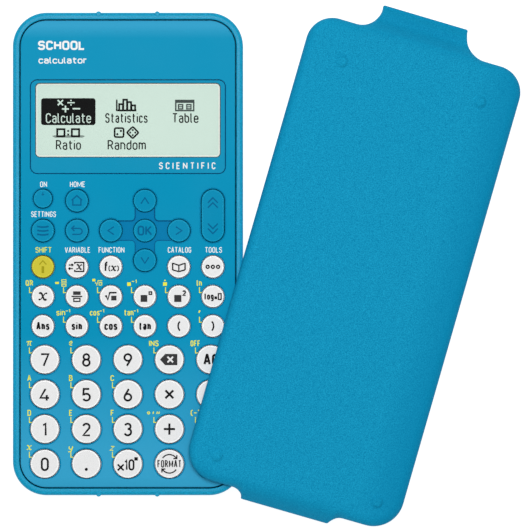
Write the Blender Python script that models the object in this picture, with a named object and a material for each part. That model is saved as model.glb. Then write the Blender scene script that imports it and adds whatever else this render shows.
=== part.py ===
"""School scientific calculator with its clip-on hard cover lying beside it, as separate working pieces.

Frame: the calculator lies face up on a table. The origin is on the table under the middle of the
calculator, +X to the right, +Y towards the display end, +Z up. The hard cover, outer face up, lies to the
right with its lower left part resting on the calculator. Sizes are in millimetres, times MM for metres.
"""

import math

import bmesh
import bpy
from mathutils import Matrix, Vector

MM = 0.001

# Calculator body, half sizes in plan and heights above the table
BODY_X = 38.5
BODY_Y = 81.0
BODY_R = 11.3
FLOOR_TOP = 2.0
RIM_TOP = 12.3
RIM_WIDTH = 2.25
NUB_X = 9.8
NUB_R = 0.75
NUB_OUT = 0.3

# Face plate
PLATE_GAP = 0.3
PLATE_BOTTOM = 10.6
PLATE_TOP = 12.6
SKIRT_WALL = 1.2
SKIRT_BOTTOM = 8.7

# Display
RECESS_X, RECESS_Y, RECESS_R = 32.74, 15.8, 2.4
RECESS_MID_Y = 42.9
RECESS_FLOOR = 11.3
OPENING_X, OPENING_Y, OPENING_R = 30.77, 12.25, 1.3
OPENING_MID_Y = 44.95
WINDOW_GAP = 0.2
WINDOW_Z = (11.5, 12.3)
LCD_X, LCD_Y = 32.5, 15.2
LCD_MID_Y = 44.8
LCD_Z = (8.0, 10.2)

# Keys: six narrow columns above, five wide columns below
FUNCTION_PITCH = 11.365
NUMBER_PITCH_X = 13.88
NUMBER_PITCH_Y = 11.62
NUMBER_TOP_Y = -35.3
FUNCTION_R = 3.62
BLUE_R = 3.68
ON_R = 3.05
NUMBER_R = 4.68
KEY_CLEARANCE = 0.25
KEY_SIDES = 14
CROSS_HALF_WIDTH = 3.24
CROSS_DEPTH = 0.45
FLANGE_OUT = 0.4
FLANGE_Z = (9.7, 10.2)
WHITE_TOP = 13.8
BLUE_TOP = 13.5
KEY_CHAMFER = 0.35
ROCKER_X, ROCKER_Y = 28.41, 12.8
ROCKER_HALF_WIDTH = 3.7
ROCKER_HALF_LENGTH = 8.7
ROCKER_FLANGE_Z = (9.5, 10.0)

# Rubber mat with one dome under each key
MAT_X = 34.0
MAT_Y = (-75.5, 23.5)
MAT_Z = (7.5, 8.3)
DOME_TOP = 9.2
DOME_R = (2.3, 1.7)
DOME_SIDES = 10

# Circuit board
BOARD_X = 34.3
BOARD_Y = (-76.5, 60.3)
BOARD_Z = (5.7, 7.2)

# Battery bay across the display end, and its door
BAY_X = (-27.6, 22.2)
BAY_Y = (61.7, 74.3)
BAY_WALL = 0.8
BAY_TOP = 10.2
CELL_R = 5.1
CELL_X = (-23.5, 20.1)
CELL_NUB = (1.9, 0.9)
CELL_MID = (68.0, 6.6)
CELL_POCKET_TOP = 12.0
DOOR_X = (-27.2, 31.5)
DOOR_Y = (61.6, 74.4)
DOOR_R = 1.2
DOOR_Z = (0.15, 1.2)
DOOR_GAP = 0.3
DOOR_SCREW_X = 27.8
SCREW_BORE_R = 1.15
SCREW_SHANK_R = 0.85
SCREW_HEAD_R = 1.8
COUNTERBORE_R = 2.2

# Hard cover: a shallow tray with a bent tab at each end, in its own frame (x across, y along, lips at z = 0)
COVER_X = 37.55
COVER_Y = 80.15
COVER_R_TOP = 9.0
COVER_R_BOTTOM = 10.4
TAB_TOP_Y = 88.95
TAB_BOTTOM_Y = -83.2
TAB_FILLET_TOP = (22.7, 7.8)
TAB_FILLET_BOTTOM = (19.4, 4.4)
COVER_HEIGHT = 3.9
COVER_ROLL_START = 3.0
COVER_HOLLOW = 2.6
COVER_WALL = 1.4
TAB_LIP = 0.35
COVER_PLACE = (75.67, -6.25, 8.2)
COVER_TILT_DEG = (-1.46, 8.84, -16.27)

# Colours, linear
BLUE = (0.010, 0.29, 0.51, 1.0)
DARK_BLUE = (0.005, 0.19, 0.40, 1.0)
WHITE = (0.78, 0.78, 0.77, 1.0)
YELLOW = (0.62, 0.56, 0.03, 1.0)


def material(name, colour, roughness, metallic=0.0):
    """One Principled material."""
    made = bpy.data.materials.new(name)
    made.use_nodes = True
    shader = made.node_tree.nodes["Principled BSDF"]
    shader.inputs["Base Color"].default_value = colour
    shader.inputs["Roughness"].default_value = roughness
    shader.inputs["Metallic"].default_value = metallic
    return made


def arc(cx, cy, radius, start, end, steps):
    """Points on an arc, both ends included, angles in degrees."""
    turns = [math.radians(start + (end - start) * i / steps) for i in range(steps + 1)]
    return [(cx + radius * math.cos(t), cy + radius * math.sin(t)) for t in turns]


def rounded_rectangle(half_x, half_y, radius, steps=5, mid=(0.0, 0.0)):
    """Anticlockwise outline of a rectangle with round corners."""
    points = []
    for quarter, (sx, sy) in enumerate(((1, 1), (-1, 1), (-1, -1), (1, -1))):
        corner = (mid[0] + sx * (half_x - radius), mid[1] + sy * (half_y - radius))
        points += arc(*corner, radius, 90 * quarter, 90 * quarter + 90, steps)
    return points


def box_outline(x_range, y_range, radius=0.4, steps=1):
    """Outline of a rectangle given by its ranges, with small cut corners."""
    mid = (sum(x_range) / 2, sum(y_range) / 2)
    half = ((x_range[1] - x_range[0]) / 2, (y_range[1] - y_range[0]) / 2)
    return rounded_rectangle(*half, radius, steps, mid)


def widened(bounds, margin):
    """A range with a margin added at both ends."""
    return (bounds[0] - margin, bounds[1] + margin)


def circle(radius, sides, mid=(0.0, 0.0)):
    """Outline of a circle, with a flat side facing +X."""
    half_step = 180.0 / sides
    return arc(*mid, radius, half_step, 360 - half_step, sides - 1)


def pill(half_width, half_length, steps=6):
    """Outline of an upright slot with round ends."""
    straight = half_length - half_width
    return arc(0, straight, half_width, 0, 180, steps) + arc(0, -straight, half_width, 180, 360, steps)


def inset(outline, distance):
    """The outline moved inwards by a distance, each corner along its bisector."""
    moved = []
    for i, here in enumerate(outline):
        point = Vector(here)
        before = (point - Vector(outline[i - 1])).normalized()
        after = (Vector(outline[(i + 1) % len(outline)]) - point).normalized()
        normal = Vector((-before.y - after.y, before.x + after.x)).normalized()
        stretch = max(normal.dot(Vector((-after.y, after.x))), 0.5)
        moved.append(tuple(point + normal * (distance / stretch)))
    return moved


def add_loft(mesh, rings, capped=True):
    """Adds a closed body through rings of (outline, height), from the bottom cap round to the top cap."""
    loops = [[mesh.verts.new((x * MM, y * MM, z * MM)) for x, y in outline] for outline, z in rings]
    pairs = list(zip(loops, loops[1:]))
    if not capped:
        pairs.append((loops[-1], loops[0]))
    for low, high in pairs:
        for i in range(len(low)):
            j = (i + 1) % len(low)
            mesh.faces.new((low[i], low[j], high[j], high[i]))
    if capped:
        mesh.faces.new(loops[0][::-1])
        mesh.faces.new(loops[-1])


def add_prism(mesh, outline, z_range):
    """Adds a straight prism."""
    add_loft(mesh, [(outline, z_range[0]), (outline, z_range[1])])


def mesh_object(name, mesh, look, place=(0.0, 0.0, 0.0)):
    """Turns a bmesh into an object with smooth round sides."""
    data = bpy.data.meshes.new(name)
    mesh.to_mesh(data)
    mesh.free()
    data.materials.append(look)
    data.shade_smooth()
    data.set_sharp_from_angle(angle=math.radians(35))
    return shown(name, data, place)


def shown(name, data, place):
    """Links an object that holds the given data, at a place in millimetres."""
    made = bpy.data.objects.new(name, data)
    made.location = [value * MM for value in place]
    bpy.context.scene.collection.objects.link(made)
    return made


def lofted(name, rings, look, place=(0.0, 0.0, 0.0)):
    """One object with one lofted body."""
    mesh = bmesh.new()
    add_loft(mesh, rings)
    return mesh_object(name, mesh, look, place)


def boolean(target, mesh, operation, look):
    """Joins or cuts a helper mesh, which stays hidden, into or out of the target."""
    helper = mesh_object(f"{target.name}_{operation.lower()}_{len(target.modifiers)}", mesh, look)
    helper.hide_render = True
    helper.display_type = "WIRE"
    modifier = target.modifiers.new(operation.title(), "BOOLEAN")
    modifier.object = helper
    modifier.operation = operation
    modifier.solver = "EXACT"


def key_layout():
    """Every round key as name: (x, y, radius, top, look name)."""
    columns = [(i - 2.5) * FUNCTION_PITCH for i in range(6)]
    keys = {
        "key_on": (columns[0], 18.5, ON_R, BLUE_TOP, "blue"),
        "key_home": (columns[1], 17.8, BLUE_R, BLUE_TOP, "blue"),
        "key_up": (columns[3], 17.8, BLUE_R, BLUE_TOP, "blue"),
        "key_settings": (columns[0], 7.8, BLUE_R, BLUE_TOP, "blue"),
        "key_back": (columns[1], 7.8, BLUE_R, BLUE_TOP, "blue"),
        "key_left": (columns[2], 7.8, BLUE_R, BLUE_TOP, "blue"),
        "key_ok": (columns[3], 7.8, BLUE_R, BLUE_TOP, "blue"),
        "key_right": (columns[4], 7.8, BLUE_R, BLUE_TOP, "blue"),
        "key_down": (columns[3], -2.1, BLUE_R, BLUE_TOP, "blue"),
        "key_shift": (columns[0], -4.3, FUNCTION_R, WHITE_TOP, "yellow"),
        "key_variable": (columns[1], -4.3, FUNCTION_R, WHITE_TOP, "white"),
        "key_function": (columns[2], -4.3, FUNCTION_R, WHITE_TOP, "white"),
        "key_catalog": (columns[4], -4.3, FUNCTION_R, WHITE_TOP, "white"),
        "key_tools": (columns[5], -4.3, FUNCTION_R, WHITE_TOP, "white"),
    }
    function_rows = (
        (-14.2, ("x", "fraction", "root", "power", "square", "log")),
        (-24.1, ("answer", "sin", "cos", "tan", "open_bracket", "close_bracket")),
    )
    for y, names in function_rows:
        for x, name in zip(columns, names):
            keys[f"key_{name}"] = (x, y, FUNCTION_R, WHITE_TOP, "white")
    number_rows = (
        ("7", "8", "9", "delete", "all_clear"),
        ("4", "5", "6", "times", "divide"),
        ("1", "2", "3", "plus", "minus"),
        ("0", "point", "power_of_ten", "format", "execute"),
    )
    for row, names in enumerate(number_rows):
        for column, name in enumerate(names):
            x = (column - 2) * NUMBER_PITCH_X
            y = NUMBER_TOP_Y - row * NUMBER_PITCH_Y
            keys[f"key_{name}"] = (x, y, NUMBER_R, WHITE_TOP, "white")
    return keys


def make_rear_case(look):
    """Rear shell with its rounded rim, battery bay, board posts and end nubs, cut for the battery door."""
    outline = rounded_rectangle(BODY_X, BODY_Y, BODY_R, 6)
    inner = inset(outline, RIM_WIDTH)
    case = lofted(
        "rear_case",
        [
            (inset(outline, 2.4), 0.0),
            (inset(outline, 0.7), 0.8),
            (outline, 2.6),
            (outline, RIM_TOP - 1.3),
            (inset(outline, 0.4), RIM_TOP - 0.4),
            (inset(outline, 1.2), RIM_TOP),
            (inset(outline, 1.8), RIM_TOP - 0.1),
            (inner, RIM_TOP - 0.6),
            (inner, FLOOR_TOP),
        ],
        look,
    )

    added = bmesh.new()
    bay_inner = box_outline(BAY_X, BAY_Y)
    bay_outer = box_outline(widened(BAY_X, BAY_WALL), widened(BAY_Y, BAY_WALL))
    sunk = FLOOR_TOP - 0.4
    add_loft(added, [(bay_outer, sunk), (bay_outer, BAY_TOP), (bay_inner, BAY_TOP), (bay_inner, sunk)], False)
    for x in (-31.0, 31.0):
        for y in (-71.0, -8.0, 55.0):
            add_prism(added, circle(2.2, 8, (x, y)), (sunk, BOARD_Z[0] - 0.3))
    add_prism(added, circle(2.4, 10, (DOOR_SCREW_X, CELL_MID[0])), (sunk, 6.0))
    for x in (-NUB_X, NUB_X):
        for side in (-1, 1):
            add_prism(added, circle(NUB_R, 10, (x, side * (BODY_Y + NUB_OUT - NUB_R))), (4.0, 9.0))
    boolean(case, added, "UNION", look)

    recess = bmesh.new()
    outline = box_outline(widened(DOOR_X, DOOR_GAP), widened(DOOR_Y, DOOR_GAP), DOOR_R + DOOR_GAP, 3)
    add_prism(recess, outline, (-1.0, DOOR_Z[1] + DOOR_GAP))
    boolean(case, recess, "DIFFERENCE", look)

    openings = bmesh.new()
    add_prism(openings, box_outline((BAY_X[0] + 0.8, BAY_X[1] - 0.2), widened(BAY_Y, -0.4)), (-1.0, 3.0))
    add_prism(openings, circle(SCREW_BORE_R, 10, (DOOR_SCREW_X, CELL_MID[0])), (-1.0, 5.2))
    boolean(case, openings, "DIFFERENCE", look)


def cross_outline(keys):
    """The arrow-key recess: a plus shape whose arms reach the middles of the four arrow keys."""
    mid_x, mid_y = keys["key_ok"][:2]
    right, left = keys["key_right"][0], keys["key_left"][0]
    up, down = keys["key_up"][1], keys["key_down"][1]
    half = CROSS_HALF_WIDTH
    return [
        (right, mid_y - half),
        (right, mid_y + half),
        (mid_x + half, mid_y + half),
        (mid_x + half, up),
        (mid_x - half, up),
        (mid_x - half, mid_y + half),
        (left, mid_y + half),
        (left, mid_y - half),
        (mid_x - half, mid_y - half),
        (mid_x - half, down),
        (mid_x + half, down),
        (mid_x + half, mid_y - half),
    ]


def make_front_case(look, keys):
    """Face plate with a skirt, display recess and opening, arrow-key recess, and a hole for every key."""
    plate = inset(rounded_rectangle(BODY_X, BODY_Y, BODY_R, 6), RIM_WIDTH + PLATE_GAP)
    skirt = inset(plate, SKIRT_WALL)
    case = lofted(
        "front_case",
        [
            (skirt, PLATE_BOTTOM),
            (skirt, SKIRT_BOTTOM),
            (plate, SKIRT_BOTTOM),
            (plate, PLATE_TOP - 0.5),
            (inset(plate, 0.5), PLATE_TOP),
        ],
        look,
    )

    holes = bmesh.new()
    through = (PLATE_BOTTOM - 1.0, PLATE_TOP + 1.0)
    for x, y, radius, _, _ in keys.values():
        add_prism(holes, circle(radius + KEY_CLEARANCE, KEY_SIDES, (x, y)), through)
    slot = pill(ROCKER_HALF_WIDTH + KEY_CLEARANCE, ROCKER_HALF_LENGTH + KEY_CLEARANCE)
    add_prism(holes, [(x + ROCKER_X, y + ROCKER_Y) for x, y in slot], through)
    opening = rounded_rectangle(OPENING_X, OPENING_Y, OPENING_R, 3, (0, OPENING_MID_Y))
    add_prism(holes, opening, through)
    boolean(case, holes, "DIFFERENCE", look)

    recess = bmesh.new()
    outline = rounded_rectangle(RECESS_X, RECESS_Y, RECESS_R, 4, (0, RECESS_MID_Y))
    add_prism(recess, outline, (RECESS_FLOOR, PLATE_TOP + 1.0))
    boolean(case, recess, "DIFFERENCE", look)

    cross = bmesh.new()
    add_prism(cross, cross_outline(keys), (PLATE_TOP - CROSS_DEPTH, PLATE_TOP + 1.0))
    boolean(case, cross, "DIFFERENCE", look)

    pocket = bmesh.new()
    pocket_x = (CELL_X[0] - 4, CELL_X[1] + 2)
    add_prism(pocket, box_outline(pocket_x, BAY_Y), (PLATE_BOTTOM - 1.0, CELL_POCKET_TOP))
    boolean(case, pocket, "DIFFERENCE", look)


def make_display(window_look, panel_look, ribbon_look):
    """Clear window, display panel and the flat ribbon that joins it to the board."""
    outline = rounded_rectangle(RECESS_X - WINDOW_GAP, RECESS_Y - WINDOW_GAP, RECESS_R - WINDOW_GAP, 4)
    place = (0.0, RECESS_MID_Y, 0.0)
    low, high = WINDOW_Z
    rings = [(outline, low), (outline, high - 0.2), (inset(outline, 0.2), high)]
    lofted("display_window", rings, window_look, place)

    panel = rounded_rectangle(LCD_X, LCD_Y, 0.5, 2)
    lofted("lcd_panel", [(panel, LCD_Z[0]), (panel, LCD_Z[1])], panel_look, (0.0, LCD_MID_Y, 0.0))

    half_width = 12.0
    thickness = 0.25
    route = [(29.2, 9.2), (28.3, 9.2), (27.6, 8.7), (27.0, 8.0), (26.4, 7.7), (25.4, 7.7)]
    section = route + [(y, z - thickness) for y, z in route[::-1]]
    ribbon = bmesh.new()
    sides = []
    for x in (-half_width, half_width):
        sides.append([ribbon.verts.new((x * MM, y * MM, z * MM)) for y, z in section])
    count = len(section)
    for i in range(count):
        j = (i + 1) % count
        ribbon.faces.new((sides[0][j], sides[0][i], sides[1][i], sides[1][j]))
    ribbon.faces.new(sides[0])
    ribbon.faces.new(sides[1][::-1])
    bmesh.ops.recalc_face_normals(ribbon, faces=ribbon.faces)
    mesh_object("lcd_ribbon", ribbon, ribbon_look)


def make_keys(keys, looks):
    """Round keys, each a flange under the plate and a chamfered cap; alike keys share a mesh."""
    shared = {}
    for name, (x, y, radius, top, look) in keys.items():
        size = (radius, top, look)
        place = (x, y, 0.0)
        if size in shared:
            shown(name, shared[size], place)
            continue
        flange = circle(radius + FLANGE_OUT, KEY_SIDES)
        cap = circle(radius, KEY_SIDES)
        rings = [
            (flange, FLANGE_Z[0]),
            (flange, FLANGE_Z[1]),
            (cap, FLANGE_Z[1]),
            (cap, top - KEY_CHAMFER),
            (circle(radius - KEY_CHAMFER, KEY_SIDES), top),
        ]
        shared[size] = lofted(name, rings, looks[look], place).data


def make_rocker(look):
    """Long page key that tilts about the crossways line through its middle."""
    cap = pill(ROCKER_HALF_WIDTH, ROCKER_HALF_LENGTH)
    flange = pill(ROCKER_HALF_WIDTH + FLANGE_OUT, ROCKER_HALF_LENGTH + FLANGE_OUT)
    pivot = ROCKER_FLANGE_Z[1]
    rings = [
        (flange, ROCKER_FLANGE_Z[0] - pivot),
        (flange, 0.0),
        (cap, 0.0),
        (cap, BLUE_TOP - KEY_CHAMFER - pivot),
        (inset(cap, KEY_CHAMFER), BLUE_TOP - pivot),
    ]
    lofted("page_rocker", rings, look, (ROCKER_X, ROCKER_Y, pivot))


def make_key_mat(look, keys):
    """Rubber sheet with a dome under every key, and two under the page key."""
    mid_y = sum(MAT_Y) / 2
    outline = rounded_rectangle(MAT_X, (MAT_Y[1] - MAT_Y[0]) / 2, 6.0, 3, (0, mid_y))
    mat = lofted("key_mat", [(outline, MAT_Z[0]), (outline, MAT_Z[1])], look)
    domes = bmesh.new()
    places = [(x, y) for x, y, _, _, _ in keys.values()]
    places += [(ROCKER_X, ROCKER_Y + side * 5.6) for side in (-1, 1)]
    for place in places:
        base = circle(DOME_R[0], DOME_SIDES, place)
        crown = circle(DOME_R[1], DOME_SIDES, place)
        add_loft(domes, [(base, MAT_Z[0] + 0.4), (base, MAT_Z[1] + 0.2), (crown, DOME_TOP)])
    boolean(mat, domes, "UNION", look)


def make_board(look):
    """Circuit board with the chip's potting and two tall parts on its underside."""
    mid_y = sum(BOARD_Y) / 2
    outline = rounded_rectangle(BOARD_X, (BOARD_Y[1] - BOARD_Y[0]) / 2, 6.0, 3, (0, mid_y))
    board = lofted("circuit_board", [(outline, BOARD_Z[0]), (outline, BOARD_Z[1])], look)
    parts = bmesh.new()
    low = BOARD_Z[0] - 1.2
    add_loft(parts, [(circle(4.5, 10, (0, 10)), low), (circle(6.0, 10, (0, 10)), BOARD_Z[0] + 0.4)])
    for y in (40.0, 50.0):
        add_prism(parts, box_outline((16, 21), (y - 2, y + 2)), (low - 0.6, BOARD_Z[0] + 0.4))
    boolean(board, parts, "UNION", look)


def make_battery(cell_look, metal):
    """AAA cell lying across the bay, its plus plate and its coiled minus spring."""
    cell = bmesh.new()
    length = CELL_X[1] - CELL_X[0]
    profile = [(CELL_R - 0.3, 0.0), (CELL_R, 0.3), (CELL_R, length - 0.4), (CELL_R - 0.4, length)]
    profile += [(CELL_NUB[0], length), (CELL_NUB[0], length + CELL_NUB[1])]
    add_loft(cell, [(circle(radius, 16), z) for radius, z in profile])
    made = mesh_object("battery_cell", cell, cell_look, (CELL_X[0], *CELL_MID))
    made.rotation_euler = (0.0, math.radians(90), 0.0)

    plate = box_outline((21.4, 21.8), (CELL_MID[0] - 3.5, CELL_MID[0] + 3.5), 0.1)
    lofted("battery_plus_contact", [(plate, FLOOR_TOP + 0.3), (plate, BAY_TOP - 0.3)], metal)

    turns, steps = 3, 12
    wire_r = 0.3
    free_end, fixed_end = CELL_X[0] - 0.4 - wire_r, BAY_X[0] + 0.35 + wire_r
    coil = bpy.data.curves.new("battery_minus_spring", "CURVE")
    coil.dimensions = "3D"
    coil.bevel_depth = wire_r * MM
    coil.bevel_resolution = 1
    coil.use_fill_caps = True
    spline = coil.splines.new("POLY")
    spline.points.add(turns * steps)
    for i, point in enumerate(spline.points):
        along = i / (turns * steps)
        angle = 2 * math.pi * i / steps
        radius = 3.4 - 1.4 * along
        x = fixed_end + (free_end - fixed_end) * along
        y = CELL_MID[0] + radius * math.cos(angle)
        z = CELL_MID[1] + radius * math.sin(angle)
        point.co = (x * MM, y * MM, z * MM, 1.0)
    coil.materials.append(metal)
    shown("battery_minus_spring", coil, (0.0, 0.0, 0.0))


def make_battery_door(look, metal):
    """Door flush in the rear case, and the captive screw that holds it."""
    outline = box_outline(DOOR_X, DOOR_Y, DOOR_R, 3)
    rings = [(inset(outline, 0.3), DOOR_Z[0]), (outline, DOOR_Z[0] + 0.3), (outline, DOOR_Z[1])]
    door = lofted("battery_door", rings, look)
    screw_place = (DOOR_SCREW_X, CELL_MID[0])
    head_top = DOOR_Z[0] + 0.45
    holes = bmesh.new()
    bore = circle(SCREW_BORE_R, 12, screw_place)
    sink = circle(COUNTERBORE_R, 12, screw_place)
    step = head_top + 0.1
    add_loft(holes, [(sink, -1.0), (sink, step), (bore, step), (bore, 3.0)])
    boolean(door, holes, "DIFFERENCE", look)

    rings = [
        (circle(SCREW_HEAD_R, 12), DOOR_Z[0]),
        (circle(SCREW_HEAD_R, 12), head_top),
        (circle(SCREW_SHANK_R, 12), head_top),
        (circle(SCREW_SHANK_R, 12), 4.4),
    ]
    lofted("battery_door_screw", rings, metal, (*screw_place, 0.0))


def cover_outline():
    """Plan of the hard cover: a rounded rectangle with a waisted tab at each end."""
    top_x, top_r = TAB_FILLET_TOP
    low_x, low_r = TAB_FILLET_BOTTOM
    top_end = 180 - math.degrees(math.asin((TAB_TOP_Y - COVER_Y - top_r) / top_r))
    low_end = math.degrees(math.asin((COVER_Y + low_r + TAB_BOTTOM_Y) / low_r))
    right_top = arc(COVER_X - COVER_R_TOP, COVER_Y - COVER_R_TOP, COVER_R_TOP, 0, 90, 5)
    right_top += arc(top_x, COVER_Y + top_r, top_r, 270, top_end, 5)
    right_low = arc(low_x, -COVER_Y - low_r, low_r, 180 - low_end, 90, 4)
    right_low += arc(COVER_X - COVER_R_BOTTOM, COVER_R_BOTTOM - COVER_Y, COVER_R_BOTTOM, -90, 0, 5)
    right = right_low + right_top
    return right + [(-x, y) for x, y in right[::-1]]


def smooth_step(value, start, end):
    """0 before start, 1 after end, and an even S between them."""
    share = min(max((value - start) / (end - start), 0.0), 1.0)
    return share * share * (3 - 2 * share)


def tab_drop(x, y):
    """How far the cover's sheet is bent down at a place, in millimetres."""
    across = smooth_step(abs(x), 23.5, 15.5)
    top = 4.2 * smooth_step(y, 77.5, 83.0) + 1.5 * smooth_step(y, 85.0, 87.4)
    past = max(-y - 76.5, 0.0) / 6.5
    return across * (top + 5.5 * past * past)


def make_cover(look):
    """Hard cover: a thin tray, its edge rolled over, with both end tabs bent down."""
    outline = cover_outline()
    pocket = inset(outline, COVER_WALL)
    mesh = bmesh.new()
    add_loft(
        mesh,
        [
            (pocket, COVER_HOLLOW),
            (pocket, 0.0),
            (outline, 0.0),
            (outline, 1.4),
            (inset(outline, 0.8), COVER_ROLL_START),
            (inset(outline, 2.6), COVER_HEIGHT),
        ],
    )
    along = (-81.5, -80.0, -78.4, -76.5, 77.5, 79.0, 80.3, 81.6, 83.0, 85.0, 86.2, 87.4)
    across = (-23.5, -19.5, -15.5, 15.5, 19.5, 23.5)
    cuts = [((0, y, 0), (0, 1, 0)) for y in along] + [((x, 0, 0), (1, 0, 0)) for x in across]
    for place, normal in cuts:
        everything = mesh.verts[:] + mesh.edges[:] + mesh.faces[:]
        bmesh.ops.bisect_plane(mesh, geom=everything, dist=1e-6, plane_co=Vector(place) * MM, plane_no=normal)
    for vertex in mesh.verts:
        x, y, z = vertex.co / MM
        on_tab = smooth_step(y, COVER_Y, COVER_Y + 3.5) + smooth_step(-y, COVER_Y, COVER_Y + 1.5)
        lip = on_tab * (COVER_HOLLOW - TAB_LIP)
        if z < COVER_ROLL_START:
            z = lip + z * (COVER_ROLL_START - lip) / COVER_ROLL_START
        vertex.co.z = (z - tab_drop(x, y)) * MM
    cover = mesh_object("cover", mesh, look, COVER_PLACE)
    pitch, roll, turn = (math.radians(angle) for angle in COVER_TILT_DEG)
    tilt = Matrix.Rotation(turn, 3, "Z") @ Matrix.Rotation(roll, 3, "Y") @ Matrix.Rotation(pitch, 3, "X")
    cover.rotation_euler = tilt.to_euler()


def main():
    """Clears the scene and makes every piece."""
    for old in list(bpy.data.objects):
        bpy.data.objects.remove(old)
    blue = material("blue_plastic", BLUE, 0.45)
    dark_blue = material("dark_blue_plastic", DARK_BLUE, 0.5)
    metal = material("bright_metal", (0.6, 0.6, 0.6, 1.0), 0.3, 1.0)
    looks = {
        "blue": material("blue_key", BLUE, 0.4),
        "white": material("white_key", WHITE, 0.35),
        "yellow": material("yellow_key", YELLOW, 0.4),
    }
    keys = key_layout()
    make_rear_case(blue)
    make_front_case(blue, keys)
    make_display(
        material("clear_window", (0.85, 0.9, 0.9, 1.0), 0.05),
        material("display_panel", (0.63, 0.8, 0.71, 1.0), 0.3),
        material("ribbon", (0.55, 0.30, 0.08, 1.0), 0.4),
    )
    make_keys(keys, looks)
    make_rocker(looks["blue"])
    make_key_mat(material("rubber", (0.25, 0.26, 0.27, 1.0), 0.8), keys)
    make_board(material("circuit_board", (0.03, 0.18, 0.08, 1.0), 0.5))
    make_battery(material("cell_jacket", (0.10, 0.10, 0.11, 1.0), 0.35), metal)
    make_battery_door(dark_blue, metal)
    make_cover(blue)


main()
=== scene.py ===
"""School scientific calculator with its hard cover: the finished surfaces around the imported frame.

Lengths are in millimetres unless a name ends in _M, and MM turns them into the frame's metres; materials
and the camera's clipping are set in metres. The calculator lies face up with its display towards +Y, and
the hard cover lies on its lower right corner.
"""

import copy
import math

import bmesh
import bpy
from mathutils import Matrix, Vector


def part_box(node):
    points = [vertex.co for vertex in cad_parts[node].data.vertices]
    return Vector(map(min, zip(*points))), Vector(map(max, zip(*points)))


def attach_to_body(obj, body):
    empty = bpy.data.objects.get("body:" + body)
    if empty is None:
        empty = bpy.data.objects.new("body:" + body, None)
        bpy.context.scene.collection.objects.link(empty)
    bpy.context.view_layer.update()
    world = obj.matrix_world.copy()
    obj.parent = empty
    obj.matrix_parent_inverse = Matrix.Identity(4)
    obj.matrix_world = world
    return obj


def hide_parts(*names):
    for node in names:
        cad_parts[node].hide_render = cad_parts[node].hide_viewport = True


MM = 0.001

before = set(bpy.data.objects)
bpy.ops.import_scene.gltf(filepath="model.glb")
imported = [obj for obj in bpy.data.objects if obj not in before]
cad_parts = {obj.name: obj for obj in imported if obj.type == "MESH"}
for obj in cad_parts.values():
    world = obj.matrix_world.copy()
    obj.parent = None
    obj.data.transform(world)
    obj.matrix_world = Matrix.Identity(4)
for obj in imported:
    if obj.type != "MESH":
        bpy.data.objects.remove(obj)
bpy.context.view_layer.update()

# Case
BODY_R = 11.3
BACK_FACE = 0.35
BACK_ROLL = 2.4
BACK_ROLL_HEIGHT = 2.3
SEAM_Z = 6.1
SEAM_DEPTH = 0.16
RIM_R = 1.25
RIM_WIDTH = 2.25
RIM_FALL = 0.4
FLOOR_TOP = 2.0
NUB_X = 9.8
NUB_R = 0.85
NUB_RISE = 0.6
NUB_LOW = 3.6
# The cell's bay in the back: its wall and the hole in its floor are rectangles between two corners
BAY_WALL = (-28.4, 60.9, 23.0, 75.1)
BAY_HOLE = (-26.8, 62.1, 22.0, 73.9)
BAY_WALL_WIDTH = 0.8
BAY_WALL_FOOT = 1.6
BAY_WALL_TOP = 10.2
SCREW_BOSS_R = 2.4
SCREW_BOSS_TOP = 6.0
DOOR_RECESS_TOP = 1.5
WELL_TOP = 1.5

# Face plate
PLATE_GAP = 0.38
PLATE_EDGE = 0.3
PLATE_SKIRT = (1.2, 10.6)
PLATE_ROLL_START = 74.4
PLATE_END = 78.45
PLATE_ROLL_DROP = 0.75
CELL_POCKET = (25.5, 6.3, 0.5)
CELL_POCKET_MIDDLE = (-2.5, 68.0)
CELL_POCKET_TOP = 12.0
UNDER_PLATE = 9.0

# Display
RECESS_R = 2.4
RECESS_GAP = 0.2
OPENING = (30.77, 12.25, 1.3)
OPENING_MIDDLE = (0.0, 44.75)
WINDOW_SHIFT = -0.35
WINDOW_EDGE = 0.15
PRINT_DEPTH = 0.2
LCD_GAP = 0.15
LCD_HEIGHT = 3.3
LCD_STROKE = 0.42

# Keys
KEY_SIDES = 56
FLANGE_OUT = 0.4
FLANGE_THICK = 0.5
KEY_GAP = 0.33
KEY_EDGE = 0.14
# Width of the band round a key's top that gets the painted highlight
KEY_HIGHLIGHT_BAND = 0.45
KEY_HOLLOW = 1.6
KEY_HOLLOW_R = 2.6
ROCKER_WALL = 0.6
# Width of the darker ring painted as shade round each key hole
SHADE_COLLAR_WIDTH = 0.42
CROSS_HALF_WIDTH = 3.24
CROSS_FILLET = 1.3
CROSS_DEPTH = 0.45
CROSS_EDGE = 0.12

# Ink stands this far out of a surface, differs from mark to mark by a step, and reaches this far into it
INK_RISE = 0.03
INK_STEP = 0.005
INK_SINK = 0.05

# Cover, in its own frame as the CAD has it
COVER_X = 37.55
COVER_Y = 80.15
COVER_R_TOP = 9.0
COVER_R_BOTTOM = 10.4
TAB_TOP_Y = 88.95
TAB_BOTTOM_Y = -83.2
TAB_FILLET_TOP = (22.7, 7.8)
TAB_FILLET_BOTTOM = (19.4, 4.4)
TAB_CORNER = 0.6
COVER_HEIGHT = 3.9
COVER_ROLL_START = 0.9
COVER_ROLL_IN = 3.6
COVER_HOLLOW = 2.6
COVER_WALL = 1.4
TAB_LIP = 0.35
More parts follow.
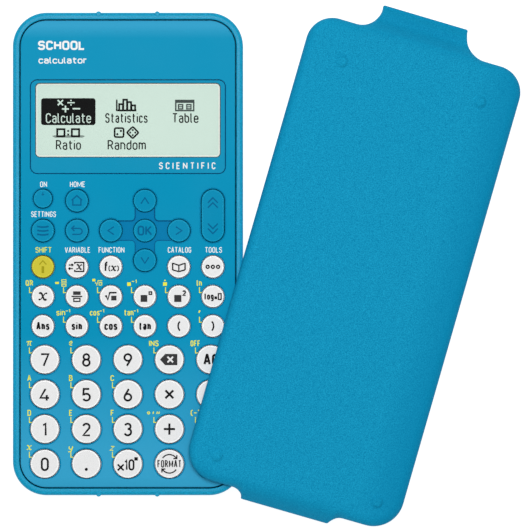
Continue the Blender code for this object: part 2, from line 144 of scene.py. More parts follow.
# The tabs' bends: where they fade out sideways and set in from the ends, and drop, start and end of each
TAB_SIDES = (23.5, 15.5)
TAB_ENTRY = (3.5, 1.5)
TOP_TAB_BENDS = ((4.2, 78.8, 84.4), (1.5, 85.8, 88.4))
BOTTOM_TAB_BEND = (5.5, 76.5, 83.0)
COVER_PLACE = (75.67, -6.25, 8.2)
COVER_TILT_DEG = (-1.46, 8.84, -16.27)
COVER_BUMPS = ((-24.4, 66.6), (24.4, 66.6), (-28.2, -71.6), (28.2, -71.6))
BUMP_R = 2.5
BUMP_HEIGHT = 0.85
BUMP_STEPS = 13

# Back
FEET = ((-27.5, -73.0), (27.5, -73.0), (-27.5, 52.0), (27.5, 52.0))
FOOT_R = 3.6
CASE_SCREWS = ((-33.0, -62.0), (33.0, -62.0), (-33.0, -5.0), (33.0, -5.0), (-33.0, 66.0), (33.0, 44.0))
SCREW_R = 1.75
SCREW_WELL_R = 2.1
SHANK_R = 0.85
DOOR_GAP = 0.3
DOOR_BORE_R = 1.15
DOOR_GRIP = (0.35, 4.2, 0.3)
# The lowest and highest level of a screw's head, and the top of the door screw's shank
CASE_SCREW_HEAD = (0.5, 1.35)
DOOR_SCREW_HEAD = (0.3, 0.75)
DOOR_SHANK_TOP = 4.4

# Picture
FRAME_WIDTH_M = 0.1779
FRAME_CENTRE = (46.18, -4.03)
LENS = 800.0
SENSOR = 36.0
LIGHT_PLACE_M = (0.02, 0.18, 1.0)
LIGHT_TARGET_M = (0.045, -0.005, 0.0)
LIGHT_SIZE_M = 0.40
LIGHT_POWER = 6.9
FLOOR_HEIGHT_M = -0.0002
FLOOR_SIZE_M = 12.0


# ---------------------------------------------------------------- outlines


def arc(cx, cy, radius, start, end, steps):
    """Points on an arc, both ends included, angles in degrees."""
    turns = [math.radians(start + (end - start) * i / steps) for i in range(steps + 1)]
    return [(cx + radius * math.cos(t), cy + radius * math.sin(t)) for t in turns]


def quarter(steps, first=0):
    """Cosine and sine at even steps through a quarter turn."""
    turns = [math.radians(90 * i / steps) for i in range(first, steps + 1)]
    return [(math.cos(turn), math.sin(turn)) for turn in turns]


def path(text):
    """Points written as "x,y x,y"."""
    return [tuple(float(value) for value in corner.split(",")) for corner in text.split()]


def rectangle(x0, y0, x1, y1):
    """Anticlockwise outline of a rectangle between two corners."""
    return [(x1, y1), (x0, y1), (x0, y0), (x1, y0)]


def rounded_rectangle(half_x, half_y, radius, steps=8, mid=(0.0, 0.0)):
    """Anticlockwise outline of a rectangle with round corners."""
    points = []
    for quadrant, (sx, sy) in enumerate(((1, 1), (-1, 1), (-1, -1), (1, -1))):
        corner = (mid[0] + sx * (half_x - radius), mid[1] + sy * (half_y - radius))
        points += arc(*corner, radius, 90 * quadrant, 90 * quadrant + 90, steps)
    return points


def circle(radius, sides=KEY_SIDES, mid=(0.0, 0.0)):
    """Outline of a circle."""
    return arc(*mid, radius, 0, 360 - 360 / sides, sides - 1)


def pill(half_width, half_length, steps=28):
    """Outline of an upright slot with round ends."""
    straight = half_length - half_width
    return arc(0, straight, half_width, 0, 180, steps) + arc(0, -straight, half_width, 180, 360, steps)


def moved(outline, place):
    """The outline, shifted."""
    return [(x + place[0], y + place[1]) for x, y in outline]


def spun(outline, degrees, place=(0.0, 0.0)):
    """The outline turned anticlockwise about the origin, then shifted."""
    spin = Matrix.Rotation(math.radians(degrees), 2)
    return [tuple(spin @ Vector(point) + Vector(place)) for point in outline]


def inset(outline, distance):
    """The outline moved inwards by a distance, or by one distance for each corner."""
    distances = distance if isinstance(distance, list) else [distance] * len(outline)
    made = []
    for i, (here, step) in enumerate(zip(outline, distances)):
        point = Vector(here)
        before = (point - Vector(outline[i - 1])).normalized()
        after = (Vector(outline[(i + 1) % len(outline)]) - point).normalized()
        normal = Vector((-before.y - after.y, before.x + after.x)).normalized()
        normal /= max(normal.dot(Vector((-after.y, after.x))), 0.5)
        made.append((here[0] + normal.x * step, here[1] + normal.y * step))
    return made


def stretched(outline, across, up):
    """The outline scaled about the origin, or mirrored where a factor is -1."""
    return [(x * across, y * up) for x, y in outline]


def smooth_step(value, start, end):
    """0 before start, 1 after end, and an even S between them."""
    share = min(max((value - start) / (end - start), 0.0), 1.0)
    return share * share * (3 - 2 * share)


# ---------------------------------------------------------------- the frame's nodes


def middle(node):
    """A node's middle in plan, in millimetres."""
    low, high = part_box(node)
    return (low.x + high.x) / 2 / MM, (low.y + high.y) / 2 / MM


def half_size(node, wider=0.0):
    """Half a node's size in plan, in millimetres, made wider on each side."""
    low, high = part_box(node)
    return (high.x - low.x) / 2 / MM + wider, (high.y - low.y) / 2 / MM + wider


def heights(node):
    """A node's lowest and highest level, in millimetres."""
    low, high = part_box(node)
    return low.z / MM, high.z / MM


def key_radius(name):
    """A round key's radius, from its node without the flange."""
    return half_size(name)[1] - FLANGE_OUT


# ---------------------------------------------------------------- meshes


def add_loft(mesh, rings, capped=True, slot=0):
    """Adds a closed body through rings of (outline, height), from the first cap to the last."""
    loops = [[mesh.verts.new((x * MM, y * MM, z * MM)) for x, y in outline] for outline, z in rings]
    pairs = list(zip(loops, loops[1:]))
    if not capped:
        pairs.append((loops[-1], loops[0]))
    faces = []
    for low, high in pairs:
        for i in range(len(low)):
            j = (i + 1) % len(low)
            faces.append((low[i], low[j], high[j], high[i]))
    if capped:
        faces += [loops[0][::-1], loops[-1]]
    for corners in faces:
        mesh.faces.new(corners).material_index = slot


def add_prism(mesh, outline, low, high, slot=0):
    """Adds a straight prism."""
    add_loft(mesh, [(outline, low), (outline, high)], slot=slot)


def add_band(mesh, outer, inner, low, high):
    """Adds a closed band between two outlines."""
    add_loft(mesh, [(outer, low), (outer, high), (inner, high), (inner, low)], False)


def smooth(data, sharp=35):
    """Shades a mesh smooth, apart from its sharp edges."""
    data.shade_smooth()
    data.set_sharp_from_angle(angle=math.radians(sharp))


def finish_mesh(name, mesh, looks, sharp=35):
    """Turns a bmesh into an object with smooth round sides. Its looks are named in one text."""
    data = bpy.data.meshes.new(name)
    mesh.to_mesh(data)
    mesh.free()
    for look in looks.split():
        data.materials.append(LOOKS[look])
    smooth(data, sharp)
    made = bpy.data.objects.new(name, data)
    bpy.context.scene.collection.objects.link(made)
    return made


def lofted(name, rings, look):
    """One object with one lofted body."""
    mesh = bmesh.new()
    add_loft(mesh, rings)
    return finish_mesh(name, mesh, look)


def apply(piece, modifier):
    """Makes what the modifier gives the piece's own mesh."""
    graph = bpy.context.evaluated_depsgraph_get()
    result = bpy.data.meshes.new_from_object(piece.evaluated_get(graph))
    piece.modifiers.remove(modifier)
    old = piece.data
    result.name = old.name
    piece.data = result
    bpy.data.meshes.remove(old)


def cut(target, helper, operation="DIFFERENCE"):
    """Cuts a helper mesh out of the target, or joins it on, and removes the helper."""
    cutter = finish_mesh("cutter", helper, "")
    for look in target.data.materials:
        cutter.data.materials.append(look)
    modifier = target.modifiers.new("cut", "BOOLEAN")
    modifier.object = cutter
    modifier.operation = operation
    modifier.solver = "EXACT"
    apply(target, modifier)
    bpy.data.objects.remove(cutter)
    smooth(target.data)


def slice_up(mesh, axis, places):
    """Adds an edge loop across the mesh at each place along an axis."""
    normal = Vector((1, 0, 0) if axis == "x" else (0, 1, 0))
    for place in places:
        everything = mesh.verts[:] + mesh.edges[:] + mesh.faces[:]
        plane = {"plane_co": normal * (place * MM), "plane_no": normal}
        bmesh.ops.bisect_plane(mesh, geom=everything, dist=1e-7, **plane)


def attach(piece, body, slot, *replaced):
    """Makes a piece ride on a body and hides the nodes that it stands for.

    The slot is not used. Its normals are weighted by area first, which keeps flat faces flat beside rounded
    edges."""
    modifier = piece.modifiers.new("normals", "WEIGHTED_NORMAL")
    modifier.keep_sharp = True
    apply(piece, modifier)
    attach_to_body(piece, body)
    if replaced:
        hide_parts(*replaced)


def attach_to_calculator(name, mesh, look, slot):
    """Finishes a mesh as a piece of the calculator that stands for no node."""
    attach(finish_mesh(name, mesh, look), "calculator", slot)


# ---------------------------------------------------------------- materials


def principled(name, colour, roughness, **settings):
    """A material and its shader, with constant values set on the shader's own sockets."""
    made = bpy.data.materials.new(name)
    made.use_nodes = True
    shader = made.node_tree.nodes["Principled BSDF"]
    shader.inputs["Base Color"].default_value = (*colour, 1.0)
    shader.inputs["Roughness"].default_value = roughness
    for socket, value in settings.items():
        shader.inputs[socket.replace("_", " ")].default_value = value
    return made, shader


def add_node(tree, kind, **values):
    """A shader node with its input values."""
    made = tree.nodes.new("ShaderNode" + kind)
    for socket, value in values.items():
        made.inputs[socket.replace("_", " ")].default_value = value
    return made


def noise(tree, scale, detail=2.0, roughness=0.5):
    """A noise texture on the piece's own coordinates, which are in metres."""
    texture = add_node(tree, "TexNoise", Scale=scale, Detail=detail, Roughness=roughness)
    place = add_node(tree, "TexCoord")
    tree.links.new(place.outputs["Object"], texture.inputs["Vector"])
    return texture.outputs["Fac"]


def scaled(tree, value, low, high, out_low, out_high):
    """A value mapped from one range to another."""
    made = add_node(tree, "MapRange", From_Min=low, From_Max=high, To_Min=out_low, To_Max=out_high)
    tree.links.new(value, made.inputs["Value"])
    return made.outputs["Result"]


def most_of(tree, shares):
    """The largest of several values."""
    largest = shares[0]
    for share in shares[1:]:
        larger = add_node(tree, "Math")
        larger.operation = "MAXIMUM"
        tree.links.new(largest, larger.inputs[0])
        tree.links.new(share, larger.inputs[1])
        largest = larger.outputs[0]
    return largest


def colour_mix(tree, share, first, second):
    """Two colours mixed by a share; either may be a socket."""
    made = add_node(tree, "Mix")
    made.data_type = "RGBA"
    tree.links.new(share, made.inputs["Factor"])
    for socket, colour in ((made.inputs[6], first), (made.inputs[7], second)):
        if isinstance(colour, bpy.types.NodeSocket):
            tree.links.new(colour, socket)
        else:
            socket.default_value = (*colour, 1.0)
    return made.outputs[2]


def add_bump(tree, height, strength, depth):
    """Sets a bump of some depth on the tree's shader."""
    bump = add_node(tree, "Bump", Strength=strength, Distance=depth * MM)
    tree.links.new(height, bump.inputs["Height"])
    tree.links.new(bump.outputs["Normal"], tree.nodes["Principled BSDF"].inputs["Normal"])


def shade(colour, factor):
    """A colour made lighter or darker."""
    return tuple(min(channel * factor, 1.0) for channel in colour)


GLOSS_CHANGE = 0.06


def grained(name, colour, roughness, grain, depth, mottle=0.05, tones=None, **settings):
    """Moulded plastic: fine grain in bump and between two tones, and slow variation of gloss."""
    settings.setdefault("Specular_IOR_Level", 0.02)
    made, shader = principled(name, colour, roughness, **settings)
    tree = made.node_tree
    fine = noise(tree, grain, 3.0, 0.6)
    slow = noise(tree, 60.0)
    pits, peaks = tones or (shade(colour, 1 - mottle), shade(colour, 1 + mottle))
    tone = colour_mix(tree, scaled(tree, fine, 0.3, 0.7, 0, 1), pits, peaks)
    tree.links.new(tone, shader.inputs["Base Color"])
    gloss = scaled(tree, slow, 0.3, 0.7, roughness - GLOSS_CHANGE, roughness + GLOSS_CHANGE)
    tree.links.new(gloss, shader.inputs["Roughness"])
    add_bump(tree, fine, 0.6, depth)
    return made


def speckled(name, colour, roughness, fleck, amount):
    """Key plastic with fine flecks."""
    made, shader = principled(name, colour, roughness, Specular_IOR_Level=0.12)
    tree = made.node_tree
    fine = noise(tree, 3600.0, 4.0, 0.7)
    flecks = scaled(tree, fine, 0.52, 0.70, 0.0, amount)
    tree.links.new(colour_mix(tree, flecks, colour, fleck), shader.inputs["Base Color"])
    add_bump(tree, fine, 0.5, 0.01)
    return made


def clear_plastic(name):
    """Clear window: see-through, with a glossy face."""
    made, shader = principled(name, (0.02, 0.03, 0.03), 0.28, Alpha=0.02, IOR=1.49, Specular_IOR_Level=0.2)
    smear = noise(made.node_tree, 90.0, 3.0)
    made.node_tree.links.new(scaled(made.node_tree, smear, 0.3, 0.7, 0.24, 0.32), shader.inputs["Roughness"])
    return made


def paint_light_by_place(made, bands, second, mapping=None):
    """Mixes a second colour in by place, as painted light or shade: each band runs along an axis, in metres,
    up to its share.
    """
    tree = made.node_tree
    shader = tree.nodes["Principled BSDF"]
    tone = shader.inputs["Base Color"].links[0].from_socket
    place = add_node(tree, "TexCoord").outputs["Object"]
    if mapping:
        turned = add_node(tree, "Mapping", **mapping)
        turned.vector_type = "TEXTURE"
        tree.links.new(place, turned.inputs["Vector"])
        place = turned.outputs["Vector"]
    split = add_node(tree, "SeparateXYZ")
    tree.links.new(place, split.inputs["Vector"])
    shares = [scaled(tree, split.outputs[axis], start, end, 0.0, most) for axis, start, end, most in bands]
    tree.links.new(colour_mix(tree, most_of(tree, shares), tone, second), shader.inputs["Base Color"])
    return made


def face_plastic_painted_sheen():
    """The face plate's blue, with a painted sheen that makes it a little paler towards both ends."""
    made = grained("face_blue", (0.0010, 0.277, 0.480), 0.5, 5200.0, 0.012, 0.03)
    # Painted sheen: paler blue mixed in along Y, most at both ends
    bands = (("Y", 0.024, 0.050, 0.13), ("Y", -0.027, -0.067, 0.98), ("Y", 0.0715, 0.0765, 1.0))
    return paint_light_by_place(made, bands, (0.0360, 0.350, 0.580))


def cover_plastic_painted_shade():
    """The cover's coarse grain, with painted shade that makes it deeper in tone towards its edges, most of
    all the outer long one.
    """
    tones = ((0.0002, 0.191, 0.372), (0.0120, 0.382, 0.627))
    made = grained("cover_blue", (0.0060, 0.288, 0.502), 0.6, 3200.0, 0.060, tones=tones)
    # Painted shade: darker blue mixed in near the long edges and the ends, in the cover's own frame
    long_edge_shade = (("X", 0.022, 0.0376, 0.62), ("X", -0.0340, -0.0372, 0.35))
    end_shade = (("Y", 0.077, 0.081, 0.32), ("Y", -0.074, -0.0815, 0.30))
    turn = math.radians(COVER_TILT_DEG[2])
    mapping = {"Location": Vector(COVER_PLACE) * MM, "Rotation": (0.0, 0.0, turn)}
    return paint_light_by_place(made, long_edge_shade + end_shade, (0.0006, 0.196, 0.385), mapping)


# Roughness, grain and depth of what several looks share
BLUE = (0.5, 5200.0, 0.012)
INK = (0.5, 7000.0, 0.002)
LCD = (0.5, 900.0, 0.001)

LOOKS = {
    "case": grained("case_blue", (0.0060, 0.312, 0.520), 0.36, 2600.0, 0.030, 0.28, Specular_IOR_Level=0.10),
    "face": face_plastic_painted_sheen(),
    "cross": grained("cross_blue", (0.0006, 0.198, 0.414), *BLUE, 0.04),
    "border": grained("window_print", (0.0010, 0.288, 0.492), 0.4, 6000.0, 0.003, 0.02),
    "cover": cover_plastic_painted_shade(),
    "blue_key": grained("blue_key", (0.0005, 0.256, 0.450), 0.45, 5200.0, 0.010, 0.04),
    "white_key": speckled("white_key", (0.80, 0.805, 0.805), 0.4, (0.55, 0.55, 0.55), 0.55),
    "yellow_key": speckled("yellow_key", (0.585, 0.525, 0.024), 0.45, (0.50, 0.46, 0.02), 0.5),
    "white_ink": grained("key_ink", (0.008, 0.008, 0.009), *INK, 0.15),
    "solid_ink": grained("key_ink_solid", (0.040, 0.040, 0.041), *INK, 0.15),
    # Paler looks for the band round each key's top: a painted highlight of the rounded edge
    "white_edge": speckled("white_key_edge", (0.93, 0.93, 0.925), 0.35, (0.80, 0.80, 0.80), 0.3),
    "blue_edge": grained("blue_key_edge", (0.0045, 0.290, 0.490), 0.40, 5200.0, 0.010, 0.04),
    "yellow_edge": speckled("yellow_key_edge", (0.64, 0.58, 0.030), 0.40, (0.52, 0.48, 0.02), 0.3),
    # Dark blue painted as shadow: lines in the cross's corners and a band under the window's edge
    "shadow_line_dark": grained("cross_edge", (0.0008, 0.070, 0.190), *BLUE, 0.04),
    # Darker blue painted as shade round the key holes' mouths
    "collar": grained("face_collar", (0.0004, 0.215, 0.400), *BLUE, 0.04),
    "blue_ink": grained("blue_key_ink", (0.0008, 0.120, 0.270), *INK, 0.08),
    "yellow_ink": grained("yellow_key_ink", (0.36, 0.32, 0.012), *INK, 0.08),
    "white_print": grained("white_print", (0.88, 0.90, 0.89), *INK, 0.03),
    "yellow_print": grained("yellow_print", (0.84, 0.83, 0.060), *INK),
    "window": clear_plastic("clear_window"),
    "lcd": grained("lcd_glass", (0.655, 0.820, 0.725), *LCD, 0.010),
    "lcd_edge": grained("lcd_edge", (0.92, 0.94, 0.84), *LCD, 0.02),
    "lcd_line": grained("lcd_line", (0.035, 0.060, 0.060), *LCD),
    "lcd_dark": grained("lcd_dark", (0.002, 0.002, 0.002), *LCD),
    "lcd_grey": grained("lcd_grey", (0.24, 0.30, 0.27), *LCD),
    "lcd_slate": grained("lcd_slate", (0.055, 0.075, 0.070), *LCD),
    "rubber": grained("mat_rubber", (0.055, 0.058, 0.062), 0.80, 1800.0, 0.020, 0.08),
    "foot": grained("foot_rubber", (0.020, 0.021, 0.023), 0.75, 1800.0, 0.030, 0.10),
    "board": grained("board_green", (0.015, 0.110, 0.045), 0.40, 1500.0, 0.010, 0.12),
    "ribbon": grained("ribbon_film", (0.42, 0.19, 0.035), 0.35, 1200.0, 0.003, 0.06),
    "metal": grained("bright_metal", (0.62, 0.61, 0.59), 0.28, 4000.0, 0.004, Metallic=1.0),
    "cell": grained("cell_jacket", (0.030, 0.032, 0.036), 0.30, 3000.0, 0.004, 0.10),
}


# ---------------------------------------------------------------- ink


# Letters as centre lines, capitals 1 high. ";" parts strokes, "@" closes one, "!" keeps a corner sharp
GLYPHS = {
    "A": "0,0 .26,1! .32,1! .58,0; .1,.32 .48,.32",
    "B": "0,.53! .46,.53 .46,1 0,1! 0,0! .5,0 .5,.53 .3,.53",
    "C": ".48,.76 .48,1 0,1 0,0 .48,0 .48,.24",
    "D": "@0,0! 0,1! .5,1 .5,0",
    "E": ".44,1 0,1! 0,0! .44,0; 0,.52 .38,.52",
    "F": ".44,1 0,1! 0,0; 0,.5 .38,.5",
    "G": ".48,.78 .48,1 0,1 0,0 .48,0 .48,.47! .26,.47",
    "H": "0,0 0,1; .5,0 .5,1; 0,.52 .5,.52",
    "I": "0,0 0,1",
    "K": "0,0 0,1; .48,1 0,.38; .15,.56 .52,0",
    "L": "0,1 0,0! .42,0",
    "M": "0,0 0,1; 0,.93 .4,.2! .8,.93; .8,0 .8,1",
    "N": "0,0 0,1; 0,.93 .6,.07; .6,0 .6,1",
    "O": "@0,0 0,1 .5,1 .5,0",
    "Q": "@0,0 0,1 .5,1 .5,0; .3,.25 .58,-.08",
    "R": "0,0 0,1! .48,1 .48,.48 0,.48; .27,.48 .52,0",
    "S": ".46,.8 .46,1 0,1 0,.53 .48,.53 .48,0 0,0 0,.22",
    "T": "0,1 .52,1; .26,1 .26,0",
    "U": "0,1 0,0 .5,0 .5,1",
    "V": "0,1 .25,0! .31,0! .56,1",
    "X": "0,0 .54,1; 0,1 .54,0",
    "a": ".02,.6 .02,.73 .4,.73 .4,0; .4,.43 0,.43 0,0 .4,0",
    "b": "0,1.04 0,0 .43,0 .43,.73 0,.73",
    "c": ".4,.55 .4,.73 0,.73 0,0 .4,0 .4,.18",
    "d": ".43,1.04 .43,0 0,0 0,.73 .43,.73",
    "e": "0,.37 .42,.37! .42,.73 0,.73 0,0 .42,0 .42,.15",
    "f": ".32,1 .1,1 .1,0; 0,.7 .3,.7",
    "g": ".43,.05 0,.05 0,.73 .43,.73 .43,-.28 .02,-.28 .02,-.2",
    "h": "0,0 0,1.04; 0,.5 0,.73 .43,.73 .43,0",
    "i": "0,0 0,.73; 0,.95 0,1.03",
    "l": "0,1.04 0,0 .14,0",
    "m": "0,0 0,.73! .34,.73 .34,0; .34,.5 .34,.73 .68,.73 .68,0",
    "n": "0,0 0,.73! .43,.73 .43,0",
    "o": "@0,0 0,.73 .43,.73 .43,0",
    "r": "0,0 0,.73! .27,.73",
    "s": ".38,.58 .38,.73 0,.73 0,.38 .4,.38 .4,0 0,0 0,.15",
    "t": ".14,1 .14,0 .36,0; 0,.73 .38,.73",
    "u": "0,.73 0,0 .43,0; .43,.73 .43,0",
    "y": "0,.73 .04,.2 .36,.2; .44,.73 .34,-.25 0,-.28",
    "z": ".02,.73 .42,.73! 0,0! .42,0",
    ",": ".08,.12 0,-.2",
    "(": ".2,1.15 0,.9 0,.1 .2,-.15",
    ")": "0,1.15 .2,.9 .2,.1 0,-.15",
    "-": "0,.5 .38,.5",
    "1": "0,.78 .2,1! .2,0",
}
# Shares of a letter's height: the gap between two letters, and the radius of a bend
LETTER_GAP = 0.12
LETTER_ROUND = 0.26
# Letters under this height have fewer points in a bend
SMALL_LETTERS = 2.3
# A key's looks: cap, ink, painted highlight on the edge, solid ink
INK_SLOT = 1
EDGE_HIGHLIGHT_SLOT = 2
SOLID_SLOT = 3


def rounded(points, sharp, closed, radius, steps):
    """A line through the points, each corner that isn't sharp rounded as far as its sides leave room."""
    count = len(points)
    kept = [sharp[i] or (not closed and i in (0, count - 1)) for i in range(count)]
    made = []
    for i, here in enumerate(points):
        if kept[i]:
            made.append(tuple(here))
            continue
        corner = Vector(here)
        sides = []
        for j in (i - 1, (i + 1) % count):
            side = Vector(points[j]) - corner
            sides.append((side.normalized(), side.length * (1.0 if kept[j] else 0.5)))
        (before, room_before), (after, room_after) = sides
        half = before.angle(after) / 2
        reach = min(radius / math.tan(half), room_before, room_after)
        centre = corner + (before + after).normalized() * (reach / math.cos(half))
        spoke = corner + before * reach - centre
        sweep = -spoke.angle_signed(corner + after * reach - centre)
        for step in range(steps + 1):
            made.append(tuple(centre + Matrix.Rotation(sweep * step / steps, 2) @ spoke))
    apart = [p for p, q in zip(made, made[1:] + made[:1]) if math.dist(p, q) > 1e-3]
    return apart if closed else apart + ([made[-1]] if apart[-1] != made[-1] else [])


def curve(points, steps=6):
    """A smooth open line that stays near the points."""
    return rounded(points, [False] * len(points), False, 9.0, steps)


def letter_strokes(letter):
    """A letter's strokes as (points, sharp marks, closed)."""
    strokes = []
    for text in GLYPHS[letter].split(";"):
        corners = text.replace("@", "")
        sharp = [corner.endswith("!") for corner in corners.split()]
        strokes.append((path(corners.replace("!", "")), sharp, "@" in text))
    return strokes


def digit_lines(digit):
    """A digit's centre lines, one unit high and centred, as (points, closed)."""
    bowl = 0.285
    low = -0.5 + bowl
    six = arc(0, low, bowl, 150, -210, 28)
    lines = {
        "0": [(pill(0.255, 0.5, 12), True)],
        "1": [(path("-.14,.36 .07,.5 .07,-.5"), False)],
        "2": [(arc(0, 0.235, 0.265, 165, -38, 14) + path("-.265,-.5 .3,-.5"), False)],
        "3": [(arc(-0.01, 0.26, 0.24, 155, -90, 14), False), (arc(-0.01, low, bowl, 90, -155, 16), False)],
        "4": [(path(".16,-.5 .16,-.02"), False), (path(".06,.5 -.38,-.27 .36,-.27"), False)],
        "5": [(path(".25,.5 -.22,.5 -.26,.02") + arc(0, -0.205, 0.295, 128, -150, 18), False)],
        "6": [(six[:-1], True), (path(".08,.5 -.245,-.07"), False)],
        "7": [(path("-.31,.5 .31,.5 -.1,-.5"), False)],
        "8": [(circle(0.235, 24, (0, 0.265)), True), (circle(0.275, 28, (0, -0.225)), True)],
    }
    if digit == "9":
        return [(stretched(points, -1, -1), closed) for points, closed in digit_lines("6")]
    return lines[digit]


class Ink:
    """Raised print on a flat surface at height z, around a centre. Crossing marks differ a hair in height."""

    marks = 0

    def __init__(self, mesh, z, centre=(0.0, 0.0), slot=0, rise=INK_RISE):
        self.mesh = mesh
        self.low = z - INK_SINK
        self.high = z + rise
        self.centre = centre
        self.slot = slot

    def at(self, x, y):
        """The same ink around a place given from this centre."""
        made = copy.copy(self)
        made.centre = (self.centre[0] + x, self.centre[1] + y)
        return made

    def draw(self, marks, x=0.0, y=0.0):
        """Marks around a place, each given as the name of a kind of mark and its values."""
        here = self.at(x, y)
        for kind, *values in marks:
            getattr(here, kind)(*values)

    def solid(self, *mark):
        """A mark in the slightly paler tone of large filled shapes."""
        paler = self.at(0.0, 0.0)
        paler.slot = SOLID_SLOT
        paler.draw([mark])

    def bare(self, *mark):
        """A mark in the key's own colour, on top of a solid one."""
        above = self.at(0.0, 0.0)
        above.slot = 0
        above.high += INK_RISE
        above.draw([mark])

    def level(self):
        """The top of the next mark."""
        Ink.marks += 1
        return self.high + INK_STEP * (Ink.marks % 4)

    def shape(self, outline):
        """A filled outline."""
        add_prism(self.mesh, moved(outline, self.centre), self.low, self.level(), self.slot)

    def stroke(self, points, width, closed=False):
        """A line of even width with mitred bends."""
        count = len(points)
        levels = (self.level(), self.low)
        rows = []
        for i, here in enumerate(points):
            point = Vector(here)
            before = point - Vector(points[i - 1]) if closed or i else None
            after = Vector(points[(i + 1) % count]) - point if closed or i < count - 1 else None
            before = (before or after).normalized()
            after = (after or before).normalized()
            normal = Vector((-before.y - after.y, before.x + after.x)).normalized()
            reach = width / 2 / max(normal.dot(Vector((-after.y, after.x))), 0.7)
            sides = moved([tuple(point + normal * reach), tuple(point - normal * reach)], self.centre)
            rows.append([self.mesh.verts.new((x * MM, y * MM, z * MM)) for z in levels for x, y in sides])
        faces = []
        links = list(zip(rows, rows[1:]))
        if closed:
            links.append((rows[-1], rows[0]))
        for a, b in links:
            faces += [(a[i], a[j], b[j], b[i]) for i, j in ((0, 1), (3, 2), (2, 0), (1, 3))]
        if not closed:
            faces.append([rows[0][i] for i in (0, 2, 3, 1)])
            faces.append([rows[-1][i] for i in (1, 3, 2, 0)])
        for corners in faces:
            self.mesh.faces.new(corners).material_index = self.slot

    def line(self, text, width):
        """An open line through points given as text."""
        self.stroke(path(text), width)

    def box(self, half_x, half_y, x=0.0, y=0.0, radius=0.0):
        """A filled rectangle."""
        if radius:
            self.shape(rounded_rectangle(half_x, half_y, radius, 3, (x, y)))
        else:
            self.shape(rectangle(x - half_x, y - half_y, x + half_x, y + half_y))

    def frame(self, half_x, half_y, width, x=0.0, y=0.0):
        """A hollow rectangle, measured to the middle of its line."""
        self.stroke(rectangle(x - half_x, y - half_y, x + half_x, y + half_y), width, True)

    def ring(self, radius, width, x=0.0, y=0.0, sides=20):
        """A hollow circle, measured to the middle of its line."""
        self.stroke(circle(radius, sides, (x, y)), width, True)

    def dot(self, radius, x=0.0, y=0.0, sides=16):
        """A filled circle."""
        self.shape(circle(radius, sides, (x, y)))

    def words(self, words, height, width, stroke, x=0.0, y=0.0, slant=0.0, loose=False):
        """Words with capitals of an outer height centred on the place, spread over an outer width.

        Letters stretch to fill the width, or keep their own width and stand apart if loose."""
        size = height - stroke
        letters = [letter_strokes(letter) for letter in words]
        widths = [max(px for points, _, _ in letter for px, _ in points) for letter in letters]
        gap = LETTER_GAP * size + stroke
        if loose:
            gap = (width - stroke - sum(widths) * size) / (len(words) - 1)
        stretch = (width - stroke - gap * (len(words) - 1)) / (sum(widths) * size)
        left = x - (width - stroke) / 2
        steps = 3 if height < SMALL_LETTERS else 5
        for letter, letter_width in zip(letters, widths):
            for points, sharp, closed in letter:
                placed = []
                for px, py in points:
                    placed.append((left + (px * stretch + slant * (py - 0.5)) * size, y + (py - 0.5) * size))
                self.stroke(rounded(placed, sharp, closed, LETTER_ROUND * size, steps), stroke, closed)
            left += letter_width * size * stretch + gap

    def digit(self, digit, height=4.55, stroke=0.66, width=1.02, x=0.0, y=-0.15):
        """A digit, its outer height given."""
        size = height - stroke
        for points, closed in digit_lines(digit):
            self.at(x, y).stroke(stretched(points, size * width, size), stroke, closed)

    def cross(self, size, stroke, x=0.0, y=0.0):
        """A multiplication sign."""
        for side in (1, -1):
            self.at(x, y).stroke([(-size / 2, -side * size / 2), (size / 2, side * size / 2)], stroke)

    def plus(self, size, stroke, x=0.0, y=0.0):
        """An addition sign."""
        self.at(x, y).stroke([(-size / 2, 0), (size / 2, 0)], stroke)
        self.at(x, y).stroke([(0, -size / 2), (0, size / 2)], stroke)

    def divide(self, size, stroke, x=0.0, y=0.0):
        """A division sign."""
        self.at(x, y).stroke([(-size / 2, 0), (size / 2, 0)], stroke)
        for side in (-1, 1):
            self.at(x, y).dot(stroke * 0.62, 0, side * size / 2 * 0.62)

    def variable(self, width, height, stroke, x=0.0, y=0.0):
        """A slanted letter x as mathematics writes it."""
        here = self.at(x, y)
        thick = path("-.44,.34 -.3,.5 -.14,.36 .12,-.36 .28,-.5 .44,-.34")
        thin = path("-.46,-.46 -.3,-.44 .3,.44 .46,.46")
        for points, share in ((thick, 1.2), (thin, 0.65)):
            here.stroke(curve(stretched(points, width, height), 4), stroke * share)
        for side in (-1, 1):
            here.dot(stroke * 0.62, side * 0.43 * width, side * 0.40 * height, 10)

    def chevron(self, turn, half=1.3, rise=1.0, x=0.0, y=0.0):
        """An arrowhead line that points along +Y, turned anticlockwise in degrees."""
        self.at(x, y).stroke(spun([(-half, -rise), (0.0, rise), (half, -rise)], turn), 0.42)


# ---------------------------------------------------------------- keys


TAG = path("2.65,1.88 -1.4,1.88 -3.15,0 -1.4,-1.88 2.65,-1.88")
FORMAT_ARROW = (arc(0, 0.33, 2.77, 145, 36, 12), path("2.5,2.9 2.5,1.75 1.3,1.75"))
PAGE = path("0,-1.6 .9,-1.35 1.85,-1.1 2.08,-.85 2.08,1.1 1.85,1.12 0,.5")
SLIDER = curve(path("-1.9,.12 -.7,-.14 .7,-.14 1.9,.12"))
BACK_BEND = path("-1.7,.75 .75,.75") + arc(0.75, -0.25, 1.0, 80, -80, 10) + path(".75,-1.25 -1.5,-1.25")

